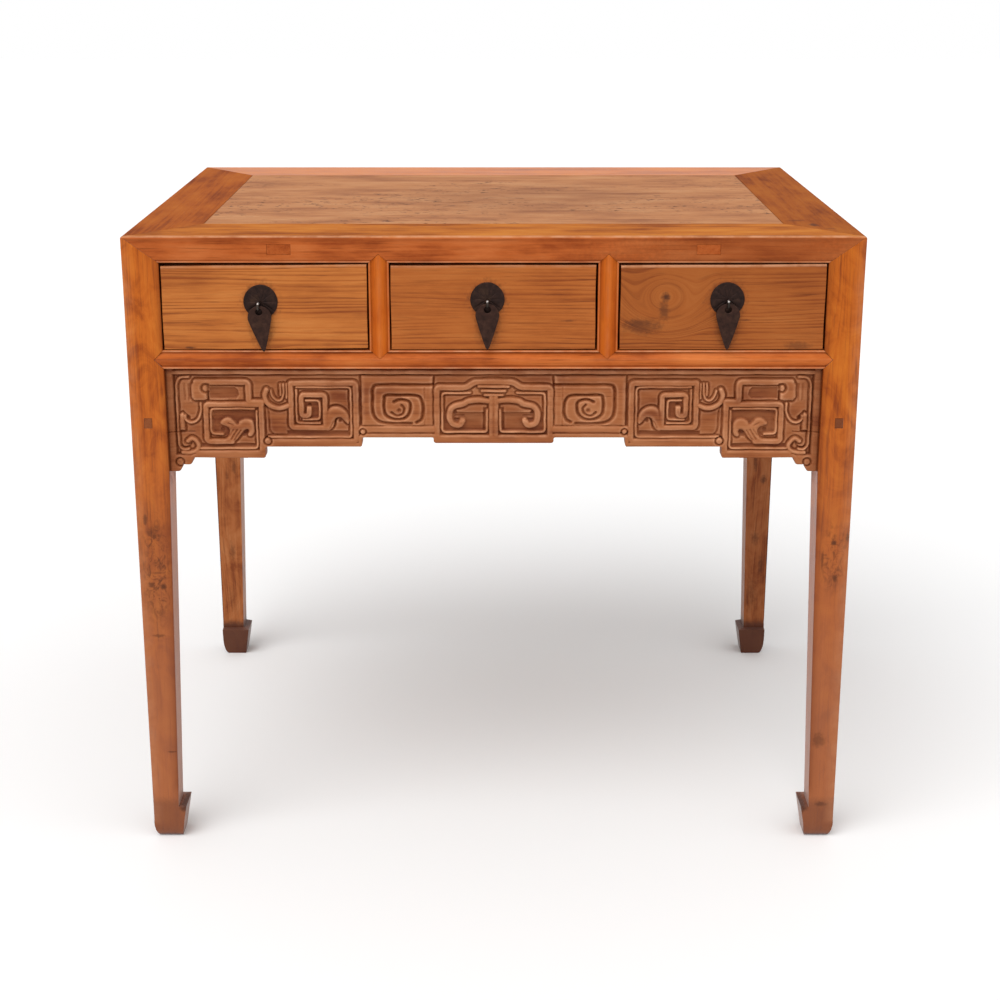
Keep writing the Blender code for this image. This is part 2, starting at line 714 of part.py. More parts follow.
def plain_apron_outline(low, high):
    """Straight lower edge with two steps down to each leg."""
    edge = apron_top - PLAIN_APRON_HEIGHT
    foot = edge - SPANDREL_STEP_DROP
    step = SPANDREL_WIDTH - SPANDREL_STEP_WIDTH
    return [
        (low, apron_top),
        (low, foot - SPANDREL_STEP_DROP),
        (low + step, foot - SPANDREL_STEP_DROP),
        (low + step, foot),
        (low + SPANDREL_WIDTH, foot),
        (low + SPANDREL_WIDTH, edge),
        (high - SPANDREL_WIDTH, edge),
        (high - SPANDREL_WIDTH, foot),
        (high - step, foot),
        (high - step, foot - SPANDREL_STEP_DROP),
        (high, foot - SPANDREL_STEP_DROP),
        (high, apron_top),
    ]


def house_long_apron(end_name, outline, faces):
    """Grooves in two legs for an apron's ends."""
    reach = inner_x + APRON_HOUSING
    lowest = min(z for x, z in outline)
    for side_name, side in SIDES.items():
        stretch = span(side * (inner_x - CUT_MARGIN), side * reach)
        house([legs[end_name, side_name]], "%s_apron_%s" % (end_name, side_name),
              (stretch[0], faces[0], lowest), (stretch[1], faces[1], apron_top))


def make_long_aprons():
    faces = (front_y + APRON_SET_BACK, front_y + APRON_SET_BACK + APRON_THICKNESS)
    outline = front_apron_outline()
    prism("front_apron", "XZ", [outline], *faces, APRON_WOOD)
    house_long_apron("front", outline, faces)
    faces = (back_y - APRON_SET_BACK - APRON_THICKNESS, back_y - APRON_SET_BACK)
    outline = plain_apron_outline(-inner_x - APRON_HOUSING, inner_x + APRON_HOUSING)
    prism("back_apron", "XZ", [outline], *faces, FRAME_WOOD)
    house_long_apron("back", outline, faces)


def make_side_apron(side_name):
    name = "side_apron_" + side_name
    side = SIDES[side_name]
    outer = half_width - APRON_SET_BACK
    inner = outer - APRON_THICKNESS
    outline = plain_apron_outline(inner_front_y + JOINT_GAP, inner_back_y - JOINT_GAP)
    apron = prism(name, "YZ", [outline], side * inner, side * outer, FRAME_WOOD)
    tenon_x = span(side * inner, side * (inner + APRON_TENON_WIDTH))
    middle = rail_bottom - APRON_TENON_BELOW_RAIL
    low = (tenon_x[0], front_y, middle - APRON_TENON_HEIGHT / 2)
    high = (tenon_x[1], back_y, middle + APRON_TENON_HEIGHT / 2)
    house([legs[end, side_name] for end in ENDS], name + "_tenon", low, high)
    inset = SPANDREL_WIDTH
    ends = {"front": (front_y, inner_front_y + inset), "back": (inner_back_y - inset, back_y)}
    for end_name, (start, stop) in ends.items():
        tenon = box_cutter("%s_tenon_%s" % (name, end_name),
                           (low[0], start, low[2]), (high[0], stop, high[2]))
        apply_boolean(apron, tenon, "UNION")


make_long_aprons()
for side_name in SIDES:
    make_side_apron(side_name)


# Drawers and pulls

drawer_floor = rail_top + JOINT_GAP
drawer_front_y = front_y + DRAWER_FRONT_RECESS
drawer_back_y = back_y - CASE_PANEL_SET_BACK - CASE_PANEL_THICKNESS - DRAWER_BACK_GAP
plate_back_y = drawer_front_y - JOINT_GAP
eye_y = plate_back_y - PLATE_THICKNESS - JOINT_GAP - EYE_RADIUS - EYE_WIRE_RADIUS
plate_z = rail_top + PULL_ABOVE_RAIL
eye_z = plate_z - EYE_BELOW_PLATE_CENTRE
DRAWERS = {"left": -(opening_width + DIVIDER_WIDTH), "middle": 0.0, "right": opening_width + DIVIDER_WIDTH}


def make_drawer_box(name, x, parent):
    half_front = opening_width / 2 - DRAWER_SIDE_GAP
    half_box = half_front - DRAWER_BOX_INSET
    inner = half_box - DRAWER_SIDE_THICKNESS
    back = drawer_back_y
    case_y = drawer_front_y + DRAWER_FRONT_THICKNESS + JOINT_GAP
    side_top = drawer_floor + DRAWER_SIDE_HEIGHT
    floor_low = drawer_floor + DRAWER_BOTTOM_RAISE
    floor_high = floor_low + DRAWER_BOTTOM_THICKNESS
    front = box(name + "_front", (x - half_front, drawer_front_y, rail_top + DRAWER_BOTTOM_GAP),
                (x + half_front, drawer_front_y + DRAWER_FRONT_THICKNESS, top_underside - DRAWER_TOP_GAP),
                DRAWER_WOOD, parent)
    bevel = front.modifiers.new("worn_edges", "BEVEL")
    bevel.width = DRAWER_FRONT_ROUND
    bevel.segments = 2
    sides = []
    for side_name, side in SIDES.items():
        faces = span(x + side * inner, x + side * half_box)
        sides.append(box("%s_side_%s" % (name, side_name), (faces[0], case_y, drawer_floor),
                         (faces[1], back, side_top), INNER_WOOD, parent))
    end = inner - JOINT_GAP
    box(name + "_back", (x - end, back - DRAWER_SIDE_THICKNESS, floor_high + JOINT_GAP),
        (x + end, back, side_top), INNER_WOOD, parent)
    groove = DRAWER_GROOVE_DEPTH
    low = (x - inner - groove, case_y - groove, floor_low)
    high = (x + inner + groove, back, floor_high)
    box(name + "_bottom", low, high, INNER_WOOD, parent)
    house([front], name + "_bottom_front", low, high)
    house(sides, name + "_bottom_sides", low, (high[0], back + CUT_MARGIN, high[2]))
    return front


def make_plate(name, x, z, parent):
    form = bmesh.new()
    bmesh.ops.create_cone(form, cap_ends=True, segments=CIRCLE_STEPS, radius1=PLATE_RADIUS,
                          radius2=PLATE_RADIUS - PLATE_EDGE, depth=PLATE_THICKNESS)
    mesh = bpy.data.meshes.new(name)
    form.to_mesh(mesh)
    form.free()
    mesh.transform(Matrix.Rotation(math.radians(90), 4, "X"))
    return add_part(name, mesh, (x, plate_back_y - PLATE_THICKNESS / 2, z), IRON, parent)


def make_pin(name, x, z, parent):
    """Eye in front, shank through the drawer front, ends bent flat behind it."""
    bpy.ops.mesh.primitive_torus_add(major_segments=EYE_STEPS, minor_segments=WIRE_STEPS,
                                     major_radius=EYE_RADIUS, minor_radius=EYE_WIRE_RADIUS)
    ring = bpy.context.object
    mesh = ring.data
    mesh.name = name
    bpy.data.objects.remove(ring, do_unlink=True)
    mesh.transform(Matrix.Rotation(math.radians(90), 4, "Y"))
    pin = add_part(name, mesh, (x, eye_y, z), IRON, parent)
    front_back = drawer_front_y + DRAWER_FRONT_THICKNESS
    bend = (front_back + JOINT_GAP, front_back + JOINT_GAP + PIN_END_THICKNESS)
    shank = rod_cutter(name + "_shank", PIN_SHAFT_RADIUS, eye_y + EYE_RADIUS, bend[0] + PIN_END_THICKNESS / 2,
                       x, z, WIRE_STEPS)
    apply_boolean(pin, shank, "UNION")
    ends = box_cutter(name + "_ends", (x - PIN_END_LENGTH / 2, bend[0], z - PIN_END_WIDTH / 2),
                      (x + PIN_END_LENGTH / 2, bend[1], z + PIN_END_WIDTH / 2))
    apply_boolean(pin, ends, "UNION")
    return pin


def drop_outline():
    """Leaf: a round shoulder above, a long taper to a blunt tip below. Measured from the eye's centre."""
    top = -(EYE_RADIUS - EYE_WIRE_RADIUS) + JOINT_GAP + DROP_RIM
    half = DROP_WIDTH / 2
    right = []
    for step in range(1, DROP_STEPS + 1):
        angle = math.pi / 2 * step / DROP_STEPS
        right.append((half * math.sin(angle), top - DROP_SHOULDER * (1 - math.cos(angle))))
    taper = DROP_LENGTH - DROP_SHOULDER - DROP_TIP
    for step in range(1, DROP_STEPS + 1):
        t = step / DROP_STEPS
        right.append((DROP_TIP + (half - DROP_TIP) * (1 - t ** DROP_TAPER_POWER), top - DROP_SHOULDER - taper * t))
    for step in range(1, CORNER_STEPS):
        angle = math.pi / 2 * step / CORNER_STEPS
        right.append((DROP_TIP * math.cos(angle), top - DROP_LENGTH + DROP_TIP * (1 - math.sin(angle))))
    tip, crown = (0.0, top - DROP_LENGTH), (0.0, top)
    return [crown] + right + [tip] + [(-x, z) for x, z in reversed(right)]


def drop_hole():
    top = -(EYE_RADIUS - EYE_WIRE_RADIUS) + JOINT_GAP
    centre = top - DROP_HOLE_RADIUS
    angles = [2 * math.pi * step / HOLE_STEPS for step in range(HOLE_STEPS)]
    return [(DROP_HOLE_RADIUS * math.cos(a), centre + DROP_HOLE_RADIUS * math.sin(a)) for a in angles]


def make_drop(name, x, z, tilt, parent):
    mesh, _ = prism_shape(name, "XZ", [drop_outline(), drop_hole()], -DROP_THICKNESS / 2, DROP_THICKNESS / 2)
    drop = add_part(name, mesh, (x, eye_y, z), IRON, parent)
    drop.rotation_euler = (0.0, -math.radians(tilt), 0.0)
    return drop


def make_drawer(label, x):
    name = "drawer_" + label
    carrier = bpy.data.objects.new(name + "_carrier", None)
    PARTS.objects.link(carrier)
    carrier.location = (x, drawer_front_y, drawer_floor)
    front = make_drawer_box(name, x, carrier)
    plate_x = x + PULL_OFFSETS[label]
    pin_x = plate_x + PIN_OFFSETS[label]
    pin_z = eye_z - PULL_LOWERED[label]
    plate = make_plate(name + "_pull_plate", plate_x, plate_z - PULL_LOWERED[label], carrier)
    make_pin(name + "_pull_pin", pin_x, pin_z, carrier)
    bore = rod_cutter(name + "_pin_bore", PIN_SHAFT_RADIUS + JOINT_GAP,
                      plate_back_y - PLATE_THICKNESS - CUT_MARGIN,
                      drawer_front_y + DRAWER_FRONT_THICKNESS + CUT_MARGIN, pin_x, pin_z, WIRE_STEPS)
    apply_boolean(front, bore)
    apply_boolean(plate, bore)
    make_drop(name + "_pull_drop", pin_x, pin_z, DROP_TILTS[label], carrier)


for label, x in DRAWERS.items():
    make_drawer(label, x)
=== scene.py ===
"""Looks of the Chinese side table with three drawers: elm surfaces, carved apron, edge beads and iron pulls.

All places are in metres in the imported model's own frame: X to the right, Y to the back, Z up.
"""

import json
import math

import bmesh
import bpy
import numpy as np
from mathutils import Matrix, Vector

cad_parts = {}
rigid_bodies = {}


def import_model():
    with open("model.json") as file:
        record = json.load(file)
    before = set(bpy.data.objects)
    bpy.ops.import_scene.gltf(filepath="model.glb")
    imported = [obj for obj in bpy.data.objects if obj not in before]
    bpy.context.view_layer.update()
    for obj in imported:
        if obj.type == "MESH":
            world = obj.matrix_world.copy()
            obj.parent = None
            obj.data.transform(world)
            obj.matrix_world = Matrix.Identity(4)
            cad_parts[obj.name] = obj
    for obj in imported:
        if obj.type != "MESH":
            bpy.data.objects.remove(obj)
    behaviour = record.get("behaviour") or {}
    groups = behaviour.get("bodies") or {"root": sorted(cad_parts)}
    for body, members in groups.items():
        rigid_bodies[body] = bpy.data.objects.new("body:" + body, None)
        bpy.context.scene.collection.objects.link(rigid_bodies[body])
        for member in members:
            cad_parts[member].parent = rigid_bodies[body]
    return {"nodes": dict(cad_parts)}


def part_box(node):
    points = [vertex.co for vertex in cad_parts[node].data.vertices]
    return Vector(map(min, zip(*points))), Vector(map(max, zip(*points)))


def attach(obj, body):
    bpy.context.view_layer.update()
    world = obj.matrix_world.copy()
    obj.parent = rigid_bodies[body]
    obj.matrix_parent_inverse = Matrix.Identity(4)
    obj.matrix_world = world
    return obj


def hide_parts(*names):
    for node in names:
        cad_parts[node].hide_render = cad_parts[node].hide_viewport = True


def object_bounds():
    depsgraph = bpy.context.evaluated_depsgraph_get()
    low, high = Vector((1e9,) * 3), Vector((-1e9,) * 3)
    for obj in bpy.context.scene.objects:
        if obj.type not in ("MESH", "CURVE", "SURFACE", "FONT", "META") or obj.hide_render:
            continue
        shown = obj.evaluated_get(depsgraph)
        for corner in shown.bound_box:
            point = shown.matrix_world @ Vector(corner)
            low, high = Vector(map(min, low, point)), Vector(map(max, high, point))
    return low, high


for default_object in list(bpy.data.objects):
    bpy.data.objects.remove(default_object)

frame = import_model()
cad_low, cad_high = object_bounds()
nodes = frame["nodes"]

MM = 0.001
SAME_PLANE = 1e-5

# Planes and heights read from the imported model

leg_low, leg_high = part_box("leg_front_right")
rail_low, rail_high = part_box("front_drawer_rail")
apron_low, apron_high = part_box("front_apron")
back_leg_low, back_leg_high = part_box("leg_back_right")
front_y = leg_low.y
inner_x = leg_low.x
half_width = leg_high.x
top_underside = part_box("top_frame_front")[0].z
table_height = cad_high.z


# Shader building

class Shade:
    """The node tree of a material or the world, built by plain calls that hand back output sockets."""

    def __init__(self, owner):
        owner.use_nodes = True
        self.owner = owner
        self.tree = owner.node_tree

    def put(self, socket, value):
        if isinstance(value, bpy.types.NodeSocket):
            self.tree.links.new(value, socket)
        else:
            socket.default_value = value

    def add(self, kind, inputs=(), **settings):
        node = self.tree.nodes.new("ShaderNode" + kind)
        for key, value in settings.items():
            setattr(node, key, value)
        for key, value in dict(inputs).items():
            self.put(node.inputs[key], value)
        return node

    def position(self):
        return self.add("TexCoord").outputs["Object"]

    def attribute(self, name):
        return self.add("Attribute", attribute_name=name).outputs["Fac"]

    def split(self, vector):
        return list(self.add("SeparateXYZ", {0: vector}).outputs)

    def join(self, x, y, z):
        return self.add("CombineXYZ", {0: x, 1: y, 2: z}).outputs[0]

    def math(self, operation, a, b=0.0, c=0.0):
        return self.add("Math", {0: a, 1: b, 2: c}, operation=operation).outputs[0]

    def times(self, a, b):
        return self.math("MULTIPLY", a, b)

    def plus(self, base, value, share):
        return self.math("MULTIPLY_ADD", value, share, base)

    def vector(self, operation, a, b=(0.0, 0.0, 0.0)):
        node = self.add("VectorMath", {0: a, 1: b}, operation=operation)
        return node.outputs["Value" if operation in ("LENGTH", "DISTANCE") else "Vector"]

    def reach(self, place, centre, radii):
        """How far out from a centre a place lies, as a share of the radii."""
        apart = self.vector("SUBTRACT", place, centre)
        return self.vector("LENGTH", self.vector("DIVIDE", apart, radii))

    def noise(self, place, scale, detail=2.0, roughness=0.5, distortion=0.0):
        inputs = {"Vector": self.vector("MULTIPLY", place, scale), "Scale": 1.0, "Detail": detail,
                  "Roughness": roughness, "Distortion": distortion}
        return self.add("TexNoise", inputs).outputs[0]

    def centred_noise(self, place, scale, *settings):
        return self.math("SUBTRACT", self.noise(place, scale, *settings), 0.5)

    def smooth(self, value, start, end, low=0.0, high=1.0):
        inputs = {0: value, 1: start, 2: end, 3: low, 4: high}
        return self.add("MapRange", inputs, interpolation_type="SMOOTHSTEP").outputs[0]

    def mix(self, factor, a, b):
        return self.add("Mix", {0: factor, 6: a, 7: b}, data_type="RGBA").outputs[2]

    def tint(self, colour, mask, strength, tone):
        """The colour, turned into a tone where the mask is 1, as far as the strength says."""
        return self.mix(self.times(mask, strength), colour, rgba(tone))

    def ramp(self, value, stops):
        node = self.add("ValToRGB", {0: value})
        points = node.color_ramp.elements
        while len(points) < len(stops):
            points.new(0.5)
        for point, (place, colour) in zip(points, stops):
            point.position = place
            point.color = rgba(colour)
        return node.outputs[0]

    def bump(self, height, distance, strength=1.0):
        inputs = {"Height": height, "Distance": distance, "Strength": strength}
        return self.add("Bump", inputs).outputs[0]

    def occlusion(self, distance):
        return self.add("AmbientOcclusion", {"Distance": distance}, samples=4).outputs["AO"]

    def seen(self):
        """1 where a surface is seen, straight or in metal and glass, and 0 for the light it gives off."""
        path = self.add("LightPath").outputs
        straight = self.math("MAXIMUM", path["Is Camera Ray"], path["Is Glossy Ray"])
        return self.math("MAXIMUM", straight, path["Is Transmission Ray"])

    def finish(self, **inputs):
        surface = self.tree.nodes["Principled BSDF"]
        for key, value in inputs.items():
            self.put(surface.inputs[key.replace("_", " ")], value)
        return self.owner


def rgba(colour):
    return (*colour, 1.0)


def shaded(colour, factors):
    return tuple(min(c * f, 1.0) for c, f in zip(colour, factors))


# Wood

GRAIN_ORDER = {"X": (0, 1, 2), "Y": (1, 0, 2), "Z": (2, 0, 1)}

FRAME_WOOD = (0.44, 0.102, 0.023)
HEAD_WOOD = (0.47, 0.110, 0.025)
RAIL_WOOD = (0.54, 0.126, 0.024)
LEG_WOODS = {"left": (0.52, 0.120, 0.011), "right": (0.49, 0.109, 0.008)}
DIVIDER_WOOD = (0.50, 0.095, 0.007)
TOP_FRONT_WOOD = (0.47, 0.135, 0.015)
TOP_SIDE_WOODS = {"left": (0.365, 0.083, 0.007), "right": (0.325, 0.077, 0.006)}
TOP_BACK_WOOD = (0.53, 0.142, 0.018)
BACK_WOOD = (0.42, 0.113, 0.030)
BACK_LEG_WOODS = {"left": (0.41, 0.125, 0.036), "right": (0.34, 0.100, 0.030)}
PANEL_WOOD = (0.46, 0.183, 0.064)
APRON_WOOD = (0.350, 0.109, 0.035)
BRACE_WOOD = shaded(HEAD_WOOD, (0.86, 0.80, 0.76))
SOFTWOOD = (0.44, 0.27, 0.13)
STAIN_AND_SHADOW = (0.085, 0.026, 0.011)
FOOT_STAIN = (0.10, 0.036, 0.022)
PORE = (0.13, 0.034, 0.009)
# Dirt and painted shade, for hollows, crevices and gaps
GRIME_AND_SHADE = (0.084, 0.010, 0.002)
DARKER = (0.56, 0.44, 0.42)
LIGHTER = (1.20, 1.42, 1.70)
# Wear and painted highlight, for crests and arrises
WEAR_AND_HIGHLIGHT = (0.62, 0.285, 0.145)

# Scales of the figure, in cycles a metre: along the grain, across it
BROAD_BENDS = (1.7, 11.0)
FINE_BENDS = (7.0, 60.0)
RING_BREAKS = (0.9, 75.0)
EARLY_BREAKS = (2.6, 45.0)
STREAKS = (3.0, 150.0)
FIBRES = (20.0, 800.0)
PORES = (24.0, 600.0)
CLOUDS = (8.0, 24.0)
# The same of stains and wear: in X, Y, Z
RAGGED = (190.0, 190.0, 190.0)
BURL = (95.0, 95.0, 60.0)
FLECK_PATCHES = (3.4, 7.0, 7.0)
FLECK_DASHES = (75.0, 125.0, 125.0)
CREST_PATCHES = (40.0, 40.0, 40.0)

SEED_SHIFT = (1.37, 0.71, 0.43)
MIDDLE_TONE = 0.54
KNOT_SHAPE = (0.8, 0.0, 1.0)
KNOT_CORE = 0.25
TOP_SKIN = 1.5 * MM
FADE_SHARE = 0.75
FOOT_LINE = (0.066, 0.050)
FOOT_RAGGED = 12.0 * MM
HOLLOW_SHARE = 0.70
CREST_SHARE = 0.80
CREVICE = 8.0 * MM
GRAIN_BUMP = 0.22 * MM


def wood(name, axis, colour, seed, rings=0.006, contrast=0.22, wander=0.010, pores=0.45, cloud=0.8,
         roughness=0.42, specular=0.14, coat=0.0, marks=(), foot=0.0, flecks=0.0, relief=False, swirl=0.0,
         sheen=0.0, grime=0.4, fade=None, top_colour=None, streaks=0.9, burls=(), knot=None):
    """Solid elm: yearly rings round a distant pith, long pores, drifting tone, stains, dirt, painted shade
    and highlights.
    """
    shade = Shade(bpy.data.materials.new(name))
    place = shade.position()
    parts = shade.split(place)
    height = parts[2]
    along, across, deep = [parts[i] for i in GRAIN_ORDER[axis]]
    if knot:
        centre, reach = knot
        apart = shade.vector("MULTIPLY", shade.vector("SUBTRACT", place, centre), KNOT_SHAPE)
        apart = shade.vector("LENGTH", apart)
        ringed = shade.math("SUBTRACT", shade.math("ADD", apart, centre[2]), deep)
        deep = shade.plus(deep, shade.smooth(apart, reach, KNOT_CORE * reach), ringed)
    shift = tuple(seed * share for share in SEED_SHIFT)
    grain = shade.vector("ADD", shade.join(along, across, deep), shift)

    def stretched(scale, detail=2.0):
        return shade.centred_noise(grain, (scale[0], scale[1], scale[1]), detail, 0.55)

    bent = shade.plus(across, stretched(BROAD_BENDS), wander * 6)
    bent = shade.plus(bent, stretched(FINE_BENDS), wander * 0.35)
    pith = (0.0, 0.031 + 0.013 * math.sin(seed * 2.1), 0.075 + 0.03 * math.cos(seed * 1.7))
    from_pith = shade.vector("LENGTH", shade.vector("ADD", shade.join(0.0, bent, deep), pith))
    phase = shade.plus(shade.math("DIVIDE", from_pith, rings), stretched(RING_BREAKS, 1.0), 2.6)
    year = shade.math("FRACT", phase)
    early = shade.math("ADD", shade.smooth(year, 0.55, 0.0), shade.smooth(year, 0.90, 1.0))
    early = shade.times(early, shade.smooth(stretched(EARLY_BREAKS), -0.14, 0.16, 0.25, 1.0))

    fibre = stretched(FIBRES, 1.0)
    pore = shade.smooth(stretched(PORES, 1.0), 0.03, 0.20)
    porous = shade.times(pore, shade.plus(0.3, early, 0.7))
    drift = (CLOUDS[0] + swirl * 6.0, CLOUDS[1], CLOUDS[1])
    clouds = shade.centred_noise(grain, drift, 5.0, 0.62, swirl)
    tone = shade.plus(MIDDLE_TONE, clouds, cloud * 2)
    for figure, share in ((stretched(STREAKS, 3.0), streaks), (fibre, 0.35), (early, -contrast)):
        tone = shade.plus(tone, figure, share)

    def toned(middle):
        stops = [(0.0, shaded(middle, DARKER)), (0.5, middle), (1.0, shaded(middle, LIGHTER))]
        return shade.ramp(tone, stops)

    colour = shade.tint(toned(colour), porous, pores, PORE)
    ragged = shade.centred_noise(place, RAGGED, 3.0, 0.6)
    if top_colour:
        upper = shade.smooth(height, table_height - TOP_SKIN, table_height)
        colour = shade.mix(upper, colour, toned(top_colour))
    if fade:
        low, high, pale = fade
        colour = shade.tint(colour, shade.smooth(height, high, low), FADE_SHARE, pale)
    for centre, radii, strength in marks:
        edge = shade.plus(shade.reach(place, centre, radii), ragged, 1.1)
        colour = shade.tint(colour, shade.smooth(edge, 1.0, 0.25), strength, STAIN_AND_SHADOW)
    for centre, radii, strength in burls:
        patch = shade.smooth(shade.reach(place, centre, radii), 1.0, 0.3)
        knots = shade.smooth(shade.noise(place, BURL, 4.0, 0.6, 1.8), 0.42, 0.66)
        colour = shade.tint(colour, shade.times(patch, knots), strength, STAIN_AND_SHADOW)
    if foot:
        ragged_height = shade.plus(height, ragged, FOOT_RAGGED)
        colour = shade.tint(colour, shade.smooth(ragged_height, *FOOT_LINE), foot, FOOT_STAIN)
    if flecks:
        patch = shade.smooth(shade.noise(place, FLECK_PATCHES), 0.40, 0.60)
        dash = shade.smooth(shade.noise(place, FLECK_DASHES, 4.0, 0.65), 0.55, 0.68)
        colour = shade.tint(colour, shade.times(dash, patch), flecks, STAIN_AND_SHADOW)
    if relief:
        # hollow: dirt and painted shade; crest: wear and painted highlight, in uneven patches
        hollow = shade.attribute("hollow")
        patchy = shade.smooth(shade.noise(place, CREST_PATCHES, 3.0, 0.6), 0.35, 0.65, 0.55, 1.35)
        colour = shade.tint(colour, hollow, HOLLOW_SHARE, GRIME_AND_SHADE)
        colour = shade.tint(colour, shade.times(shade.attribute("crest"), patchy), CREST_SHARE, WEAR_AND_HIGHLIGHT)
        if sheen:
            sheen = shade.plus(sheen, hollow, -sheen)
    # Darker where near surfaces close in: dirt and painted shade in crevices, gaps and joints
    if grime:
        closed = shade.smooth(shade.occlusion(CREVICE), 0.70, 0.20)
        colour = shade.tint(colour, closed, grime, GRIME_AND_SHADE)

    gloss = shade.plus(shade.plus(roughness, clouds, 0.16), porous, 0.16)
    rise = shade.plus(shade.plus(shade.times(porous, -1.0), fibre, 0.25), early, -0.35)
    return shade.finish(Base_Color=colour, Roughness=gloss, Normal=shade.bump(rise, GRAIN_BUMP),
                        Specular_IOR_Level=specular, Coat_Weight=coat, Coat_Roughness=0.22,
                        Sheen_Weight=sheen, Sheen_Roughness=0.4)


# Iron

PLATE_TONES = ((0.010, 0.0037, 0.0025), (0.022, 0.0085, 0.0055), (0.042, 0.018, 0.012))
DROP_TONES = ((0.018, 0.0062, 0.0036), (0.036, 0.0135, 0.008), (0.060, 0.026, 0.016))
PIN_TONES = ((0.02, 0.015, 0.012), (0.05, 0.04, 0.034), (0.10, 0.085, 0.075))
TONE_STOPS = (0.30, 0.55, 0.75)
RUST = (0.06, 0.028, 0.014)
# Polish and painted highlight on the pins' eyes
IRON_POLISH_AND_HIGHLIGHT = (0.66, 0.65, 0.63)
MOTTLE = (160.0, 160.0, 160.0)
PITS = (1500.0, 1500.0, 1500.0)
RUST_PATCHES = (75.0, 75.0, 75.0)
IRON_BUMP = 0.3 * MM


def iron(name, tones, roughness, metallic, polish_and_highlight=None):
    """Forged iron, dark with handling: mottled patina, fine pits, brown rust, and a place polished with a
    painted highlight.
    """
    shade = Shade(bpy.data.materials.new(name))
    place = shade.position()
    mottle = shade.noise(place, MOTTLE, 5.0, 0.62)
    rust = shade.smooth(shade.noise(place, RUST_PATCHES, 3.0), 0.52, 0.72)
    colour = shade.tint(shade.ramp(mottle, list(zip(TONE_STOPS, tones))), rust, 0.4, RUST)
    if polish_and_highlight:
        centre, reach = polish_and_highlight
        bright = shade.smooth(shade.vector("DISTANCE", place, centre), reach, reach * 0.45)
        colour = shade.mix(bright, colour, rgba(IRON_POLISH_AND_HIGHLIGHT))
    gloss = shade.plus(roughness - 0.12, mottle, 0.25)
    rise = shade.plus(mottle, shade.noise(place, PITS), 0.4)
    return shade.finish(Base_Color=colour, Roughness=gloss, Metallic=metallic,
                        Normal=shade.bump(rise, IRON_BUMP, 0.7))


# Pieces

WELD_DISTANCE = 0.02 * MM
FLAT_ANGLE = math.radians(0.5)


def new_object(name, data):
    obj = bpy.data.objects.new(name, data)
    bpy.context.scene.collection.objects.link(obj)
    return obj


def place_piece(name, mesh, material, body, stands_for, sharp=40):
    """Puts a finished mesh into the scene, with its finish and the body that it rides on."""
    mesh.materials.append(material)
    mesh.shade_smooth()
    mesh.set_sharp_from_angle(angle=math.radians(sharp))
    obj = new_object(name, mesh)
    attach(obj, body)
    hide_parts(*stands_for)


def mesh_of(name, form):
    bmesh.ops.recalc_face_normals(form, faces=form.faces)
    mesh = bpy.data.meshes.new(name)
    form.to_mesh(mesh)
    form.free()
    return mesh


def shade_and_wear_layers(form):
    """New layers of a form: how dark with dirt and painted shade and how pale with wear and painted highlight
    each point is.
    """
    return [form.verts.layers.float.new(name) for name in ("hollow", "crest")]


def boundary(form):
    return [edge for edge in form.edges if edge.is_boundary]


def close_back(form, plane):
    """Gives an open relief its walls and a flat back at y = plane, and hands back the new points."""
    walls = bmesh.ops.extrude_edge_only(form, edges=boundary(form))["geom"]
    points = [item for item in walls if isinstance(item, bmesh.types.BMVert)]
    for point in points:
        point.co.y = plane
    bmesh.ops.holes_fill(form, edges=boundary(form), sides=0)
    return points


def angles(count):
    return [2 * math.pi * i / count for i in range(count)]


def skin(form, rings, closed=False):
    """Faces between each ring of points and the next, and from the last to the first if closed."""
    pairs = list(zip(rings, rings[1:]))
    if closed:
        pairs.append((rings[-1], rings[0]))
    for ring, after in pairs:
        for i in range(len(ring)):
            form.faces.new((ring[i - 1], ring[i], after[i], after[i - 1]))


def face_loops(node, front):
    """Outlines, as (x, z) lists, of the flat face of a CAD node that lies in the plane y = front."""
    mesh = nodes[node].data
    edges = {}
    for face in mesh.polygons:
        points = [mesh.vertices[i].co for i in face.vertices]
        if max(abs(p.y - front) for p in points) > SAME_PLANE:
            continue
        keys = [(round(p.x, 6), round(p.z, 6)) for p in points]
        for a, b in zip(keys, keys[1:] + keys[:1]):
            if (b, a) in edges:
                del edges[b, a]
            else:
                edges[a, b] = True
    follow = {a: b for a, b in edges}
    loops = []
    while follow:
        start = next(iter(follow))
        loop = [start]
        point = follow.pop(start)
        while point != start:
            loop.append(point)
            point = follow.pop(point)
        loops.append(loop)
    return sorted(loops, key=lambda loop: min(x for x, z in loop))


# Plane geometry for the carving, on arrays of points

def unit(values):
    return np.clip(values, 0.0, 1.0)


def segment_distance(px, pz, a, b):
    """Distance from points to the stretch a to b, and the nearest point on it."""
    dx, dz = b[0] - a[0], b[1] - a[1]
    length = max(dx * dx + dz * dz, 1e-12)
    t = unit(((px - a[0]) * dx + (pz - a[1]) * dz) / length)
    nx, nz = a[0] + t * dx, a[1] + t * dz
    return np.hypot(px - nx, pz - nz), nx, nz


def path_distance(px, pz, path):
    best = np.full(px.shape, 1e9)
    for a, b in zip(path, path[1:]):
        best = np.minimum(best, segment_distance(px, pz, a, b)[0])
    return best


def outline_distance(px, pz, outline):
    """Signed distance to a closed outline, negative inside, and the nearest point on the outline."""
    best = np.full(px.shape, 1e9)
    best_x, best_z = px.copy(), pz.copy()
    inside = np.zeros(px.shape, bool)
    for a, b in zip(outline, outline[1:] + outline[:1]):
        distance, nx, nz = segment_distance(px, pz, a, b)
        nearer = distance < best
        best = np.where(nearer, distance, best)
        best_x = np.where(nearer, nx, best_x)
        best_z = np.where(nearer, nz, best_z)
        crosses = (a[1] > pz) != (b[1] > pz)
        if a[1] != b[1]:
            inside ^= crosses & (px < a[0] + (pz - a[1]) * (b[0] - a[0]) / (b[1] - a[1]))
    return np.where(inside, -best, best), best_x, best_z


